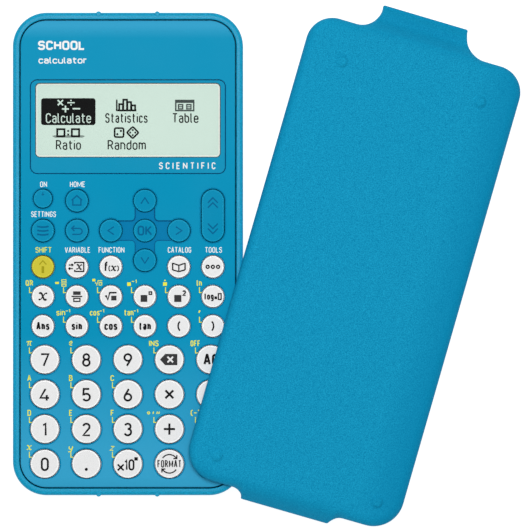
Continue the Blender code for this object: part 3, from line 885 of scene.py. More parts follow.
# Every key's legend. The keys are made in this order
LEGENDS = {
    "key_on": (("stroke", arc(0, 1.75, 0.5, 215, 325, 8), 0.3), ("line", "0,2.1 0,1.5", 0.26)),
    "key_home": (
        ("line", "-1.75,.15 0,1.7 1.75,.15", 0.42),
        ("line", "-1.35,.3 -1.35,-1.45 1.35,-1.45 1.35,.3", 0.42),
    ),
    "key_settings": [("stroke", moved(SLIDER, (0.0, y)), 0.52) for y in (-1.3, 0.0, 1.3)],
    "key_back": (("stroke", BACK_BEND, 0.42), ("line", "-.8,1.65 -1.75,.75 -.8,-.15", 0.42)),
    "key_up": [("chevron", 0)],
    "key_left": [("chevron", 90)],
    "key_down": [("chevron", 180)],
    "key_right": [("chevron", 270)],
    "key_ok": [("words", "OK", 3.3, 4.9, 0.55)],
    "key_shift": (("line", "-1.15,.75 0,2.05 1.15,.75", 0.36), ("box", 0.42, 1.15, 0.0, -0.95)),
    "key_variable": (
        ("line", "-.7,.95 -.7,1.45 2.3,1.45 2.3,-1.55 -.7,-1.55 -.7,-1", 0.44),
        ("variable", 1.75, 1.65, 0.42, 0.78, -0.05),
        ("line", "-1.3,-.6 -2.6,-.6", 0.38),
        ("line", "-2.25,-1 -2.75,-.6 -2.25,-.2", 0.38),
        ("line", "-2.7,.6 -1.4,.6", 0.38),
        ("line", "-1.75,1 -1.25,.6 -1.75,.2", 0.38),
    ),
    "key_function": (
        ("words", "f", 3.4, 1.5, 0.58, -1.6, 0.07),
        ("words", "(", 1.75, 0.74, 0.34, -0.42, -0.53),
        ("variable", 1.6, 1.6, 0.40, 0.92, -0.50),
        ("words", ")", 1.75, 0.74, 0.34, 2.32, -0.53),
    ),
    "key_catalog": [("line", "0,-1.5 0,.5", 0.42)]
    + [("stroke", stretched(PAGE, side, 1), 0.46) for side in (-1, 1)],
    "key_tools": [("ring", 0.50, 0.46, x) for x in (-1.75, 0.0, 1.75)],
    "key_x": [("variable", 2.75, 2.6, 0.5)],
    "key_fraction": (
        ("solid", "box", 1.25, 0.60, 0, 1.1),
        ("line", "-1.8,0 1.8,0", 0.42),
        ("frame", 1.02, 0.52, 0.42, 0, -1.15),
    ),
    "key_root": (
        ("line", "-1.95,.05 -1.5,.15 -1,-1.15 -.4,1.25 1.9,1.25", 0.52),
        ("solid", "box", 0.88, 0.80, 1.0, -0.55),
    ),
    "key_power": (("solid", "box", 1.12, 1.15, -0.3, -0.68), ("frame", 0.42, 0.42, 0.42, 1.85, 1.1)),
    "key_square": (("solid", "box", 1.2, 1.17, -0.35, -0.68), ("digit", "2", 1.95, 0.48, 1.02, 1.8, 1.1)),
    "key_log": (
        ("words", "log", 2.2, 3.1, 0.46, -1.25),
        ("box", 0.44, 0.46, 0.98, -0.45),
        ("frame", 0.46, 0.98, 0.42, 2.3, -0.05),
    ),
    "key_answer": [("words", "Ans", 2.7, 4.4, 0.58)],
    "key_sin": [("words", "sin", 2.7, 3.5, 0.58)],
    "key_cos": [("words", "cos", 2.7, 4.35, 0.58)],
    "key_tan": [("words", "tan", 2.7, 4.1, 0.58)],
    "key_open_bracket": [("stroke", arc(2.0, 0, 2.25, 137, 223, 10), 0.52)],
    "key_close_bracket": [("stroke", arc(-2.0, 0, 2.25, -43, 43, 10), 0.52)],
    "key_delete": (("solid", "shape", TAG), ("bare", "cross", 1.85, 0.56, 0.3)),
    "key_all_clear": [("words", "AC", 3.85, 5.0, 0.74)],
    "key_times": [("cross", 2.65, 0.72)],
    "key_divide": [("divide", 3.8, 0.70)],
    "key_plus": [("plus", 3.75, 0.70)],
    "key_minus": [("line", "-1.9,0 1.9,0", 0.58)],
    "key_point": [("dot", 0.52, 0, -1.85)],
    "key_power_of_ten": (
        ("cross", 2.0, 0.58, -2.4, -1.2),
        ("words", "1", 3.8, 1.05, 0.62, -0.6, -0.35),
        ("digit", "0", 3.8, 0.60, 0.88, 1.2, -0.35),
        ("box", 0.58, 0.56, 2.75, 1.65),
    ),
    "key_format": [("words", "FORMAT", 2.5, 8.0, 0.36)]
    + [("stroke", stretched(line, side, side), 0.42) for side in (-1, 1) for line in FORMAT_ARROW],
    "key_execute": [("words", "EXE", 2.6, 6.0, 0.55)],
}
LEGENDS.update({f"key_{digit}": [("digit", digit)] for digit in "0123456789"})
ARROW_KEYS = ("key_ok", "key_up", "key_down", "key_left", "key_right")
BLUE_KEYS = ARROW_KEYS + ("key_on", "key_home", "key_settings", "key_back")


def key_rings(outline, low, top, wall):
    """Rings of a key cap: the hollow over its rubber dome, flange, straight side and rounded edge."""
    shoulder = low + FLANGE_THICK
    hollow, flange = inset(outline, wall), inset(outline, -FLANGE_OUT)
    rings = [(hollow, low + KEY_HOLLOW), (hollow, low)]
    rings += [(flange, low), (flange, shoulder), (outline, shoulder)]
    for across, up in quarter(5):
        rings.append((inset(outline, KEY_EDGE * (1 - across)), top - KEY_EDGE * (1 - up)))
    rings.append((inset(outline, KEY_HIGHLIGHT_BAND), top))
    return rings


def make_cap(node, name, slot, outline, wall, marks):
    """A key's cap with its legend; the band around its top face has a paler painted highlight."""
    low, top = heights(node)
    place = middle(node)
    mesh = bmesh.new()
    add_loft(mesh, [(moved(ring, place), z) for ring, z in key_rings(outline, low, top, wall)])
    Ink(mesh, top, place, INK_SLOT).draw(marks)
    # Faces of the rounded edge and the band round the top get the painted highlight
    for face in mesh.faces:
        levels = [corner.co.z / MM for corner in face.verts]
        on_top = len(levels) == 4 and max(levels) < top + 1e-4 and min(levels) > top - KEY_EDGE - 1e-4
        if face.material_index == 0 and on_top:
            face.material_index = EDGE_HIGHLIGHT_SLOT
    looks = [slot, slot.replace("key", "ink"), slot.replace("key", "edge"), "solid_ink"]
    attach(finish_mesh(name, mesh, " ".join(looks), 50), node, slot, node)


def make_key(name):
    """One round key."""
    slot = "blue_key" if name in BLUE_KEYS else "yellow_key" if name == "key_shift" else "white_key"
    radius = key_radius(name)
    make_cap(name, name.replace("key_", "cap_"), slot, circle(radius), radius - KEY_HOLLOW_R, LEGENDS[name])


def make_rocker():
    """The long page key with its two double arrowheads."""
    marks = []
    for side, turn in ((-1, 180), (1, 0)):
        marks += [("chevron", turn, 1.65, 0.85, 0.0, side * y) for y in (3.5, 5.15)]
    outline = pill(*half_size("page_rocker", -FLANGE_OUT))
    make_cap("page_rocker", "page_key", "blue_key", outline, ROCKER_WALL, marks)


# ---------------------------------------------------------------- calculator case


def body_outline():
    """Plan of the calculator's body, from the rear case without its end nubs."""
    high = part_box("rear_case")[1]
    return rounded_rectangle(high.x / MM, high.y / MM - NUB_RISE, BODY_R, 20)


def make_case():
    """Rear shell: rounded rim, parting line, back with wells for screws and feet, and the cell's bay."""
    outline = body_outline()
    top = heights("rear_case")[1]
    rings = []
    for across, up in quarter(6):
        rings.append((inset(outline, BACK_ROLL * (1 - up)), BACK_FACE + BACK_ROLL_HEIGHT * (1 - across)))
    for depth, rise in ((0.0, -0.18), (SEAM_DEPTH, -0.1), (SEAM_DEPTH, 0.1), (0.0, 0.18)):
        rings.append((inset(outline, depth), SEAM_Z + rise))
    for across, up in quarter(8):
        rings.append((inset(outline, RIM_R * (1 - across)), top - RIM_R + RIM_R * up))
    for across, up in quarter(6):
        rings.append((inset(outline, RIM_WIDTH - RIM_FALL * (1 - up)), top - RIM_FALL * (1 - across)))
    rings.append((inset(outline, RIM_WIDTH), FLOOR_TOP))
    case = lofted("case_shell", rings, "case")

    added = bmesh.new()
    nub_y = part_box("rear_case")[1].y / MM - 0.15 - NUB_R
    for x in (-NUB_X, NUB_X):
        for side in (-1, 1):
            nub = circle(NUB_R, 20, (x, side * nub_y))
            rings = [(inset(nub, 0.3), NUB_LOW), (nub, NUB_LOW + 0.4)]
            add_loft(added, rings + [(nub, top - 0.05), (inset(nub, 0.25), top + 0.2)])
    wall = rectangle(*BAY_WALL)
    screw = middle("battery_door_screw")
    add_band(added, wall, inset(wall, BAY_WALL_WIDTH), BAY_WALL_FOOT, BAY_WALL_TOP)
    add_prism(added, circle(SCREW_BOSS_R, 24, screw), BAY_WALL_FOOT, SCREW_BOSS_TOP)
    cut(case, added, "UNION")

    holes = bmesh.new()
    door_half = half_size("battery_door", DOOR_GAP)
    add_prism(holes, rounded_rectangle(*door_half, 1.5, 6, middle("battery_door")), -1.0, DOOR_RECESS_TOP)
    for place in CASE_SCREWS:
        well = circle(SCREW_WELL_R, 28, place)
        wide = inset(well, -0.3)
        rings = [(wide, 0.0), (wide, BACK_FACE - 0.02), (well, BACK_FACE + 0.25), (well, WELL_TOP)]
        add_loft(holes, rings)
    for place in FEET:
        add_prism(holes, circle(FOOT_R + 0.15, 40, place), 0.0, 0.8)
    cut(case, holes)

    through = bmesh.new()
    add_prism(through, rectangle(*BAY_HOLE), 1.0, 3.0)
    add_prism(through, circle(DOOR_BORE_R, 20, screw), 1.0, 5.2)
    cut(case, through)
    attach(case, "calculator", "body_blue", "rear_case")


def cross_arms(half):
    """How far each arrow key is from the middle one, and the rounded corner between two arms of the cross."""
    x, y = middle("key_ok")
    right, up = middle("key_right")[0] - x, middle("key_up")[1] - y
    left, down = x - middle("key_left")[0], y - middle("key_down")[1]
    corner = arc(half + CROSS_FILLET, half + CROSS_FILLET, CROSS_FILLET, 270, 180, 6)
    return (right, up, left, down), corner


def cross_outline():
    """The arrow-key recess: a plus shape with rounded inner corners, between the arrow keys' middles."""
    half = CROSS_HALF_WIDTH
    reach, corner = cross_arms(half)
    points = []
    for turn in range(4):
        points += spun([(reach[turn], -half), (reach[turn], half)] + corner, 90 * turn)
    return moved(points, middle("key_ok"))


def cross_shadow_lines():
    """Painted shadow along the recess's four inner corners, as lines around the middle key, the upper two
    wider.
    """
    half = CROSS_HALF_WIDTH + 0.06
    reach, corner = cross_arms(half)
    clear = math.sqrt((key_radius("key_ok") + KEY_GAP + 0.1) ** 2 - half * half)
    marks = []
    for turn, width in enumerate((0.30, 0.30, 0.18, 0.18)):
        line = [(reach[turn] - clear, half)] + corner + [(half, reach[(turn + 1) % 4] - clear)]
        marks.append(("stroke", spun(line, 90 * turn), width))
    return marks


def flared(outline, low, top, edge):
    """Rings of a cutter whose mouth is rounded over by a small edge."""
    rings = [(outline, low), (outline, top - edge)]
    for across, up in quarter(3, 1):
        rings.append((inset(outline, -edge * (1 - across)), top - edge + edge * up))
    return rings + [(inset(outline, -edge), top + 1.0)]


def key_holes(top):
    """A cutter for the holes of the keys and the rocker, each with a ring of painted shade round its mouth.
    """
    holes = bmesh.new()
    slots = [(circle(key_radius(name) + KEY_GAP), middle(name)) for name in LEGENDS]
    slots.append((pill(*half_size("page_rocker", KEY_GAP - FLANGE_OUT)), middle("page_rocker")))
    for outline, place in slots:
        hole = moved(outline, place)
        wide = inset(hole, -SHADE_COLLAR_WIDTH)
        rings = [(hole, UNDER_PLATE), (hole, top - 0.10), (inset(hole, -0.05), top - 0.05)]
        add_loft(holes, rings + [(wide, top), (wide, top + 1.0)])
    # Faces round each hole's mouth take the second look, a darker blue painted as shade
    for wall in holes.faces:
        levels = [corner.co.z / MM for corner in wall.verts]
        if top - 0.11 < min(levels) and max(levels) < top + 0.01:
            wall.material_index = 1
    return holes


def make_face():
    """Face plate with its rolled ends, display recess, arrow-key cross and rounded key holes."""
    outline = inset(body_outline(), RIM_WIDTH + PLATE_GAP)
    low, top = heights("front_case")
    skirt_in, skirt_top = PLATE_SKIRT
    skirt = inset(outline, skirt_in)
    rings = [(skirt, skirt_top), (skirt, low), (outline, low)]
    for across, up in quarter(5):
        rings.append((inset(outline, PLATE_EDGE * (1 - across)), top - PLATE_EDGE + PLATE_EDGE * up))
    mesh = bmesh.new()
    add_loft(mesh, rings)
    slice_up(mesh, "y", [side * (PLATE_ROLL_START + i * 0.33) for i in range(12) for side in (-1, 1)])
    for vertex in mesh.verts:
        if vertex.co.z > (top - PLATE_EDGE - 0.05) * MM:
            past = max(abs(vertex.co.y / MM) - PLATE_ROLL_START, 0.0) / (PLATE_END - PLATE_ROLL_START)
            vertex.co.z -= PLATE_ROLL_DROP * past * past * MM
    face = finish_mesh("face_plate", mesh, "face collar")

    holes = key_holes(top)
    add_prism(holes, rounded_rectangle(*OPENING, 6, OPENING_MIDDLE), UNDER_PLATE, top + 1)
    cut(face, holes)

    recesses = bmesh.new()
    recess = rounded_rectangle(*half_size("display_window", RECESS_GAP), RECESS_R, 10, window_middle())
    add_loft(recesses, flared(recess, heights("display_window")[0] - 0.2, top, 0.2))
    cross = cross_outline()
    add_loft(recesses, flared(cross, top - CROSS_DEPTH, top, CROSS_EDGE))
    cut(face, recesses)
    pocket = bmesh.new()
    pocket_outline = rounded_rectangle(*CELL_POCKET, 2, CELL_POCKET_MIDDLE)
    add_prism(pocket, pocket_outline, UNDER_PLATE, CELL_POCKET_TOP)
    cut(face, pocket)
    attach(face, "calculator", "body_blue", "front_case")

    floor, level = inset(cross, 0.05), top - CROSS_DEPTH
    insert = lofted("arrow_cross", [(floor, level - 0.1), (floor, level + 0.04)], "cross")
    holes = bmesh.new()
    for name in ARROW_KEYS:
        add_prism(holes, moved(circle(key_radius(name) + KEY_GAP), middle(name)), UNDER_PLATE, top + 1)
    cut(insert, holes)
    attach(insert, "calculator", "body_blue")
    # Dark lines of painted shadow along the cross's inner corners
    print_piece("arrow_cross_edge", "shadow_line_dark", top, cross_shadow_lines(), middle("key_ok"), 0.01)


# ---------------------------------------------------------------- print on the face


LABEL_HEIGHT = 1.9
LABEL_STROKE = 0.25
LABEL_SHIFT = 0.2
LABEL_Y = 1.35
WHITE_LABELS = (
    ("ON", "key_on", 23.3, 2.3),
    ("HOME", "key_home", 23.3, 5.1),
    ("SETTINGS", "key_settings", 13.3, 8.3),
    ("VARIABLE", "key_variable", LABEL_Y, 8.5),
    ("FUNCTION", "key_function", LABEL_Y, 8.65),
    ("CATALOG", "key_catalog", LABEL_Y, 7.8),
    ("TOOLS", "key_tools", LABEL_Y, 5.7),
)
TITLES = [
    ("words", "SCHOOL", 3.1, 15.7, 0.66, -22.2, 69.75),
    ("words", "calculator", 2.2, 16.2, 0.38, -21.8, 64.75),
]
SECOND_STROKE = 0.31
# Each second legend has a small angled line to its key: the line's corner and the legend's middle, from
# the key's middle
LARGE_KEY_R = 4.3
SMALL_KEY_PLACES = ((-4.48, 1.27), (-4.55, 4.5))
LARGE_KEY_PLACES = ((-5.19, 2.2), (-5.22, 5.4))
ANGLED_LINE = path("0,1.8 0,0 .8,0")


def above_words(words, width, height=2.0, slant=0.0):
    """Words above a key's upper left."""
    return [("words", words, height, width, SECOND_STROKE, 0.0, 0.0, slant)]


def above_inverse(words, width):
    """A function's name with a small raised minus one."""
    name = ("words", words, 2.0, width, SECOND_STROKE, -0.85)
    return (name, ("line", ".8,.55 1.5,.55", 0.26), ("words", "1", 1.2, 0.5, 0.28, 2.05, 0.55))


# The second legend of a key, in yellow above its upper left
YELLOW_ABOVE = {
    "key_x": above_words("QR", 2.5, 1.9),
    "key_fraction": (
        ("box", 0.6, 0.35, -2.1, 0.0),
        ("frame", 0.7, 0.33, 0.24, 0.2, 0.75),
        ("line", "-.75,0 1.15,0", 0.2),
        ("frame", 0.7, 0.33, 0.24, 0.2, -0.75),
    ),
    "key_root": (
        ("box", 0.5, 0.42, -1.15, 0.95),
        ("line", "-.75,-.05 -.5,.1 -.15,-.85 .25,.75 1.65,.75", 0.26),
        ("frame", 0.45, 0.42, 0.24, 1.05, -0.3),
    ),
    "key_power": (
        ("box", 0.62, 0.6, -0.75, -0.4),
        ("line", ".2,.5 .95,.5", 0.28),
        ("words", "1", 1.25, 0.55, 0.3, 1.55, 0.5),
    ),
    "key_square": (("box", 0.65, 0.6, -0.1, -0.35), ("dot", 0.26, -0.1, 0.85, 10)),
    "key_log": above_words("ln", 1.7),
    "key_sin": above_inverse("sin", 2.95),
    "key_cos": above_inverse("cos", 3.25),
    "key_tan": above_inverse("tan", 3.15),
    "key_close_bracket": [("line", ".12,.75 .12,.45 -.18,-.05", 0.46)],
    "key_7": (
        ("line", "-.85,.35 -.5,.65 .85,.65", 0.28),
        ("line", "-.2,.6 -.5,-.75", 0.28),
        ("line", ".4,.6 .25,-.5 .65,-.7", 0.28),
    ),
    "key_8": [("stroke", curve(path("-.45,-.1 .5,.15 .35,.75 -.3,.6 -.5,-.75 .4,-.55")), 0.28)],
    "key_delete": above_words("INS", 3.2),
    "key_all_clear": above_words("OFF", 3.2),
    "key_4": above_words("A", 1.3),
    "key_5": above_words("B", 1.2),
    "key_6": above_words("C", 1.2),
    "key_1": above_words("D", 1.2),
    "key_2": above_words("E", 1.1),
    "key_3": above_words("F", 1.1),
    "key_plus": [("ring", 0.36, 0.3, -1.75, 0.0, 12)]
    + [("stroke", [(x + 0.12, 0.42), (x - 0.12, -0.35)], 0.32) for x in (-0.2, 1.1, 1.75)],
    "key_minus": above_words("(-)", 3.1, 1.8),
    "key_0": [("variable", 1.5, 1.55, 0.3)],
    "key_point": above_words("y", 1.5, 2.1, 0.2),
    "key_power_of_ten": above_words("z", 1.4, 2.1, 0.25),
}


def print_piece(name, look, z, marks, centre=(0.0, 0.0), rise=INK_RISE, slot="body_blue"):
    """One piece of print with its marks around a centre."""
    mesh = bmesh.new()
    Ink(mesh, z, centre, 0, rise).draw(marks)
    attach_to_calculator(name, mesh, look, slot)


def label(words, key, y, width):
    """A plain word over a key."""
    return ("words", words, LABEL_HEIGHT, width, LABEL_STROKE, middle(key)[0] + LABEL_SHIFT, y)


def make_print():
    """White and yellow print on the face plate, the yellow tied to its keys by small angled lines."""
    top = heights("front_case")[1]
    print_piece("white_print", "white_print", top, [label(*values) for values in WHITE_LABELS] + TITLES)

    marks = [label("SHIFT", "key_shift", LABEL_Y, 5.4)]
    for name, above in YELLOW_ABOVE.items():
        x, y = middle(name)
        corner, place = LARGE_KEY_PLACES if key_radius(name) >= LARGE_KEY_R else SMALL_KEY_PLACES
        marks.append(("draw", [("stroke", moved(ANGLED_LINE, corner), 0.27)], x, y))
        marks.append(("draw", above, x + place[0], y + place[1]))
    print_piece("yellow_print", "yellow_print", top, marks)


# ---------------------------------------------------------------- display


TILE_SIGNS = (
    ("cross", 1.75, 0.5, -22.6, 5.85),
    ("divide", 2.4, 0.42, -19.05, 5.85),
    ("plus", 2.3, 0.5, -20.9, 3.75),
    ("line", "-18.5,3.85 -16,3.85", 0.5),
    ("words", "Calculate", LCD_HEIGHT, 15.1, 0.36, -19.9, 0.68),
)
BAR_ICON = [("line", "-3.3,1.9 -3.3,-1.72 3.3,-1.72", 0.5)]
for number, bar in enumerate((2.1, 3.6, 2.8, 1.7)):
    BAR_ICON.append(("frame", 0.62, bar / 2, 0.62, -1.85 + number * 1.36, -1.75 + bar / 2))
TABLE_ICON = [("frame", 3.0, 1.7, 0.5), ("box", 3.0, 0.42, 0.0, 1.28)]
for column in (-1.38, 1.38):
    TABLE_ICON.append(("frame", 0.7, 0.72, 0.44, column, -0.42))
    TABLE_ICON.append(("stroke", [(column - 0.7, -0.42), (column + 0.7, -0.42)], 0.34))
RATIO_ICON = [("frame", 1.22, 1.18, 0.64, x, 0.0) for x in (-2.45, 2.45)]
RATIO_ICON += [("box", 0.3, 0.3, 0.0, y) for y in (-0.6, 0.6)]
DICE_ICON = [("stroke", rounded_rectangle(1.5, 1.5, 0.5, 3, (-2.35, 0.0)), 0.58, True)]
DICE_ICON += [("dot", 0.38, x, y, 10) for x, y in ((-2.95, -0.55), (-1.75, 0.55))]
DICE_ICON += [("stroke", spun(rounded_rectangle(1.4, 1.4, 0.4, 3), 45, (2.2, 0.0)), 0.58, True)]
for across, up in ((0.0, 0.85), (0.0, -0.85), (0.85, 0.0), (-0.85, 0.0)):
    DICE_ICON.append(("dot", 0.34, 2.2 + across, up, 10))
MENU = (
    ("box", 9.1, 4.5, -19.95, 2.85, 0.8),
    ("draw", BAR_ICON, -0.45, 5.0),
    ("words", "Statistics", LCD_HEIGHT, 14.15, LCD_STROKE, -0.5, 0.72),
    ("words", "Table", LCD_HEIGHT, 8.8, LCD_STROKE, 19.2, 0.72),
    ("draw", RATIO_ICON, -20.0, -4.2),
    ("words", "Ratio", LCD_HEIGHT, 8.4, LCD_STROKE, -19.9, -8.3),
    ("draw", DICE_ICON, -0.6, -4.15),
    ("words", "Random", LCD_HEIGHT, 12.8, LCD_STROKE, -0.4, -8.3),
)
TILE_SHADOW = path("-14.3,-5.3 -15.2,-5.05 -24.5,-5.05 -25.4,-5.3 -24.5,-5.85 -15.2,-5.85")
SERIES_WORD = ("words", "SCIENTIFIC", 2.3, 18.9, 0.36, 19.85, 29.5, 0.0, True)


def window_middle():
    """The visible window's middle in plan."""
    x, y = middle("display_window")
    return x, y + WINDOW_SHIFT


def band_piece(name, look, outer, inner, low, high, slot="body_blue"):
    """A closed band between two outlines, as a piece of the calculator."""
    mesh = bmesh.new()
    add_band(mesh, outer, inner, low, high)
    attach_to_calculator(name, mesh, look, slot)


def make_window():
    """Clear window, the blue border printed on its underside, its dark line, a dark band of painted shade
    under its edge, and word.
    """
    bottom, top = heights("display_window")
    edge = WINDOW_EDGE
    outline = rounded_rectangle(*half_size("display_window"), RECESS_R - RECESS_GAP, 12, window_middle())
    rings = [(outline, bottom), (outline, top - edge)]
    rings += [(inset(outline, edge * 0.3), top - edge * 0.3), (inset(outline, edge), top)]
    attach(lofted("window_pane", rings, "window"), "calculator", "display_window", "display_window")

    hole = rounded_rectangle(*OPENING, 12, OPENING_MIDDLE)
    shown = top - PRINT_DEPTH
    band_piece("window_border", "border", inset(outline, 0.1), hole, shown - 0.1, shown)
    band_piece("window_line", "lcd_line", inset(hole, -0.24), hole, shown - 0.05, shown + 0.02)
    # A dark band under the pane's edge: painted shade seen down the recess's gap
    wide, narrow = inset(outline, -0.18), inset(outline, 0.6)
    band_piece("window_gap_shade", "shadow_line_dark", wide, narrow, bottom - 0.12, bottom - 0.01)
    print_piece("window_words", "white_print", shown, [SERIES_WORD], rise=0.02)


def make_display():
    """Display glass, its light edge and the menu that it shows."""
    bottom, top = heights("lcd_panel")[0], heights("display_window")[0] - LCD_GAP
    outline = rounded_rectangle(*half_size("lcd_panel"), 0.5, 4, middle("lcd_panel"))
    rings = [(outline, bottom), (outline, top - 0.1), (inset(outline, 0.1), top)]
    attach(lofted("lcd_glass", rings, "lcd"), "calculator", "display_panel", "lcd_panel")

    half_x, half_y = OPENING[0] - 0.05, OPENING[1] - 0.05
    outer = rounded_rectangle(half_x + 0.5, half_y + 0.5, 1.6, 8, OPENING_MIDDLE)
    inner = rounded_rectangle(half_x - 0.42, half_y - 0.42, 0.9, 8, OPENING_MIDDLE)
    band_piece("lcd_edge", "lcd_edge", outer, inner, top - 0.02, top + 0.02, "display_panel")
    prints = (
        ("lcd_menu", "lcd_dark", top, MENU, 0.02),
        ("lcd_shadow", "lcd_grey", top, [("shape", TILE_SHADOW)], 0.01),
        ("lcd_table", "lcd_slate", top, [("draw", TABLE_ICON, 19.0, 4.9)], 0.02),
        ("lcd_light", "lcd", top + 0.04, TILE_SIGNS, 0.02),
    )
    for name, look, z, marks, rise in prints:
        print_piece(name, look, z, marks, OPENING_MIDDLE, rise, "display_panel")


# ---------------------------------------------------------------- cover


def cover_outline():
    """Plan of the hard cover: a rounded rectangle with a waisted tab at each end."""
    top_x, top_r = TAB_FILLET_TOP
    low_x, low_r = TAB_FILLET_BOTTOM
    top_end = 180 - math.degrees(math.asin((TAB_TOP_Y - TAB_CORNER - COVER_Y - top_r) / top_r))
    low_end = math.degrees(math.asin((COVER_Y + low_r + TAB_BOTTOM_Y + TAB_CORNER) / low_r))
    right = arc(low_x, -COVER_Y - low_r, low_r, 180 - low_end, 90, 12)
    first = right[0]
    right = arc(first[0] - TAB_CORNER, first[1], TAB_CORNER, -90, -8, 3) + right
    right += arc(COVER_X - COVER_R_BOTTOM, COVER_R_BOTTOM - COVER_Y, COVER_R_BOTTOM, -90, 0, 16)
    right += arc(COVER_X - COVER_R_TOP, COVER_Y - COVER_R_TOP, COVER_R_TOP, 0, 90, 16)
    right += arc(top_x, COVER_Y + top_r, top_r, 270, top_end, 16)
    last = right[-1]
    right += arc(last[0] - TAB_CORNER, last[1], TAB_CORNER, 8, 90, 3)
    return right + [(-x, y) for x, y in right[::-1]]


def tab_drop(x, y):
    """How far the cover's sheet is bent down at a place: by two bends at its top tab, one at the other."""
    top = sum(drop * smooth_step(y, start, end) for drop, start, end in TOP_TAB_BENDS)
    drop, start, end = BOTTOM_TAB_BEND
    past = max(-y - start, 0.0) / (end - start)
    return smooth_step(abs(x), *TAB_SIDES) * (top + drop * past * past)


def on_tab(y):
    """0 on the cover's body, 1 out on a tab."""
    top, bottom = TAB_ENTRY
    return smooth_step(y, COVER_Y, COVER_Y + top) + smooth_step(-y, COVER_Y, COVER_Y + bottom)


def make_cover():
    """Hard cover: a thin grained tray with a soft rolled edge, bent tabs and four low bumps."""
    outline = cover_outline()
    share = [on_tab(y) for _, y in outline]
    walls = [COVER_WALL * (1 - 0.75 * s) for s in share]
    pocket, lip = inset(outline, walls), inset(outline, [wall - 0.2 for wall in walls])
    rings = [(pocket, COVER_HOLLOW), (pocket, 0.25), (lip, 0.0), (inset(outline, 0.3), 0.0), (outline, 0.3)]
    for across, up in quarter(10):
        inward = [COVER_ROLL_IN * (1 - 0.9 * s) * (1 - across) for s in share]
        rings.append((inset(outline, inward), COVER_ROLL_START + (COVER_HEIGHT - COVER_ROLL_START) * up))
    mesh = bmesh.new()
    add_loft(mesh, rings)
    slice_up(mesh, "y", [76.8 + 0.55 * i for i in range(21)] + [-82.6 + 0.5 * i for i in range(13)])
    slice_up(mesh, "x", [side * (15.0 + 0.9 * i) for i in range(11) for side in (-1, 1)])
    for vertex in mesh.verts:
        x, y, z = vertex.co / MM
        raised = min(on_tab(y), 1.0) * (COVER_HOLLOW - TAB_LIP)
        vertex.co.z = (raised + z * (COVER_HEIGHT - raised) / COVER_HEIGHT - tab_drop(x, y)) * MM
    for place in COVER_BUMPS:
        rings = [(circle(BUMP_R, 36, place), COVER_HEIGHT - 0.2)]
        for i in range(BUMP_STEPS):
            radius = BUMP_R * (1 - i / BUMP_STEPS)
            rise = BUMP_HEIGHT * smooth_step(BUMP_R - radius, 0.0, 0.6 * BUMP_R)
            rings.append((circle(radius, 36, place), COVER_HEIGHT - 0.01 + rise))
        add_loft(mesh, rings)
    pitch, roll, turn = (math.radians(angle) for angle in COVER_TILT_DEG)
    tilt = Matrix.Rotation(turn, 4, "Z") @ Matrix.Rotation(roll, 4, "Y") @ Matrix.Rotation(pitch, 4, "X")
    place = Matrix.Translation(Vector(COVER_PLACE) * MM)
    bmesh.ops.transform(mesh, matrix=place @ tilt, verts=mesh.verts)
    attach(finish_mesh("cover_shell", mesh, "cover", 40), "cover", "cover_blue", "cover")


# ---------------------------------------------------------------- back


def make_screw(name, place, body, head, shank_top=None, *replaced):
    """A cross-head screw, seen from below: domed head, cross recess and a shank where it shows."""
    low, high = head
    rings = []
    for across, up in quarter(5):
        ring = circle(SCREW_R * (0.55 + 0.45 * up), 28, place)
        rings.append((ring, low + (high - low) * 0.5 * (1 - across)))
    rings.append((circle(SCREW_R, 28, place), high))
    screw = lofted(name, rings, "metal")
    arm, half = SCREW_R * 0.58, SCREW_R * 0.14
    for turn in (0, 90):
        cutter = bmesh.new()
        bar = spun(rectangle(-arm, -half, arm, half), turn, place)
        add_prism(cutter, bar, low - 0.5, low + (high - low) * 0.7)
        cut(screw, cutter)
    if shank_top:
        shank = bmesh.new()
        add_prism(shank, circle(SHANK_R, 16, place), high - 0.1, shank_top)
        cut(screw, shank, "UNION")
    attach(screw, body, "contact_metal", *replaced)


def make_back():
    """Feet, case screws, battery door with its grip lines and captive screw."""
    for number, place in enumerate(FEET, 1):
        steps = ((FOOT_R - 0.5, 0.0), (FOOT_R - 0.15, 0.12), (FOOT_R, 0.4), (FOOT_R, 0.75))
        rings = [(circle(radius, 40, place), z) for radius, z in steps]
        attach(lofted(f"foot_{number}", rings, "foot"), "calculator", "rubber")
    for number, place in enumerate(CASE_SCREWS, 1):
        make_screw(f"case_screw_{number}", place, "calculator", CASE_SCREW_HEAD)

    half, (x, y) = half_size("battery_door"), middle("battery_door")
    outline = rounded_rectangle(*half, 1.2, 6, (x, y))
    rings = [(inset(outline, 0.25), BACK_FACE), (outline, BACK_FACE + 0.25)]
    rings.append((outline, heights("battery_door")[1]))
    door = lofted("door_panel", rings, "case")
    screw = middle("battery_door_screw")
    sink, bore = circle(2.2, 32, screw), circle(DOOR_BORE_R, 32, screw)
    holes = bmesh.new()
    add_loft(holes, [(sink, -1.0), (sink, 0.85), (bore, 0.85), (bore, 3.0)])
    for i in range(5):
        grip = rounded_rectangle(*DOOR_GRIP, 3, (x - half[0] + 3.0 + i * 1.5, y))
        add_prism(holes, grip, 0.0, BACK_FACE + 0.25)
    cut(door, holes)
    attach(door, "battery_door", "body_blue", "battery_door")
    make_screw("door_screw", screw, "battery_door", DOOR_SCREW_HEAD, DOOR_SHANK_TOP, "battery_door_screw")


def dress_inner_nodes():
    """Materials for the nodes whose CAD shape is shown as it is."""
    looks = {
        "key_mat": "rubber",
        "circuit_board": "board",
        "lcd_ribbon": "ribbon",
        "battery_plus_contact": "metal",
        "battery_minus_spring": "metal",
        "battery_cell": "cell",
    }
    for node, look in looks.items():
        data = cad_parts[node].data
        data.materials.clear()
        data.materials.append(LOOKS[look])
        smooth(data, 40)


# ---------------------------------------------------------------- studio


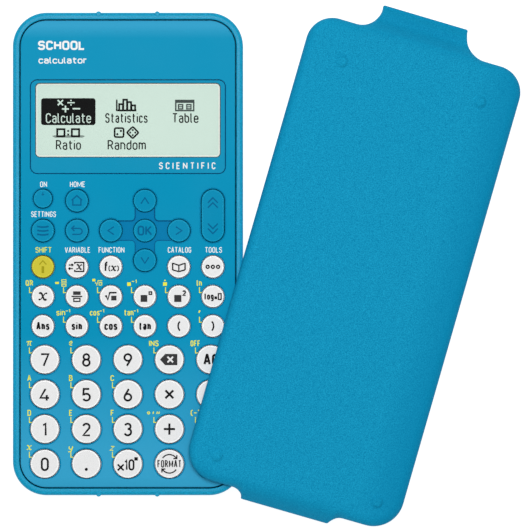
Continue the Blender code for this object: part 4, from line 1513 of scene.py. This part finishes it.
def make_light():
    """A soft square light above, that faces the object."""
    light = bpy.data.lights.new("key_light", "AREA")
    light.energy = LIGHT_POWER
    light.size = LIGHT_SIZE_M
    place, target = Vector(LIGHT_PLACE_M), Vector(LIGHT_TARGET_M)
    holder = bpy.data.objects.new("key_light", light)
    holder.location = place
    holder.rotation_euler = (target - place).to_track_quat("-Z", "Y").to_euler()
    bpy.context.scene.collection.objects.link(holder)


def make_studio():
    """Pale floor, soft light from above, and the camera straight overhead."""
    scene = bpy.context.scene
    scene.view_settings.view_transform = "Standard"

    floor_mesh = bmesh.new()
    bmesh.ops.create_grid(floor_mesh, x_segments=1, y_segments=1, size=FLOOR_SIZE_M)
    white = (1.0, 1.0, 1.0, 1.0)
    settings = {"Specular_IOR_Level": 0.0, "Emission_Color": white, "Emission_Strength": 0.9}
    LOOKS["floor"], _ = principled("floor", (0.35, 0.35, 0.35), 0.9, **settings)
    floor = finish_mesh("floor", floor_mesh, "floor")
    floor.location.z = FLOOR_HEIGHT_M

    world = bpy.data.worlds.new("studio")
    world.use_nodes = True
    tree = world.node_tree
    split = add_node(tree, "SeparateXYZ")
    tree.links.new(add_node(tree, "TexCoord").outputs["Generated"], split.inputs["Vector"])
    high = scaled(tree, split.outputs["Z"], 0.4, 1.0, 0.22, 0.52)
    low = scaled(tree, split.outputs["Z"], 0.0, 0.25, 0.80, 0.22)
    background = tree.nodes["Background"]
    background.inputs["Color"].default_value = white
    tree.links.new(most_of(tree, [high, low]), background.inputs["Strength"])
    scene.world = world
    make_light()

    camera = bpy.data.cameras.new("camera")
    camera.lens = LENS
    camera.sensor_width = SENSOR
    camera.clip_start = 0.01
    camera.clip_end = 20.0
    holder = bpy.data.objects.new("camera", camera)
    distance = FRAME_WIDTH_M * LENS / SENSOR
    holder.location = (FRAME_CENTRE[0] * MM, FRAME_CENTRE[1] * MM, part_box("front_case")[1].z + distance)
    scene.collection.objects.link(holder)
    scene.camera = holder


def main():
    """Builds every piece. The print's heights depend on the order."""
    make_studio()
    make_case()
    make_face()
    make_window()
    make_display()
    make_print()
    for name in LEGENDS:
        make_key(name)
    make_rocker()
    make_cover()
    make_back()
    dress_inner_nodes()


main()
bpy.context.view_layer.update()
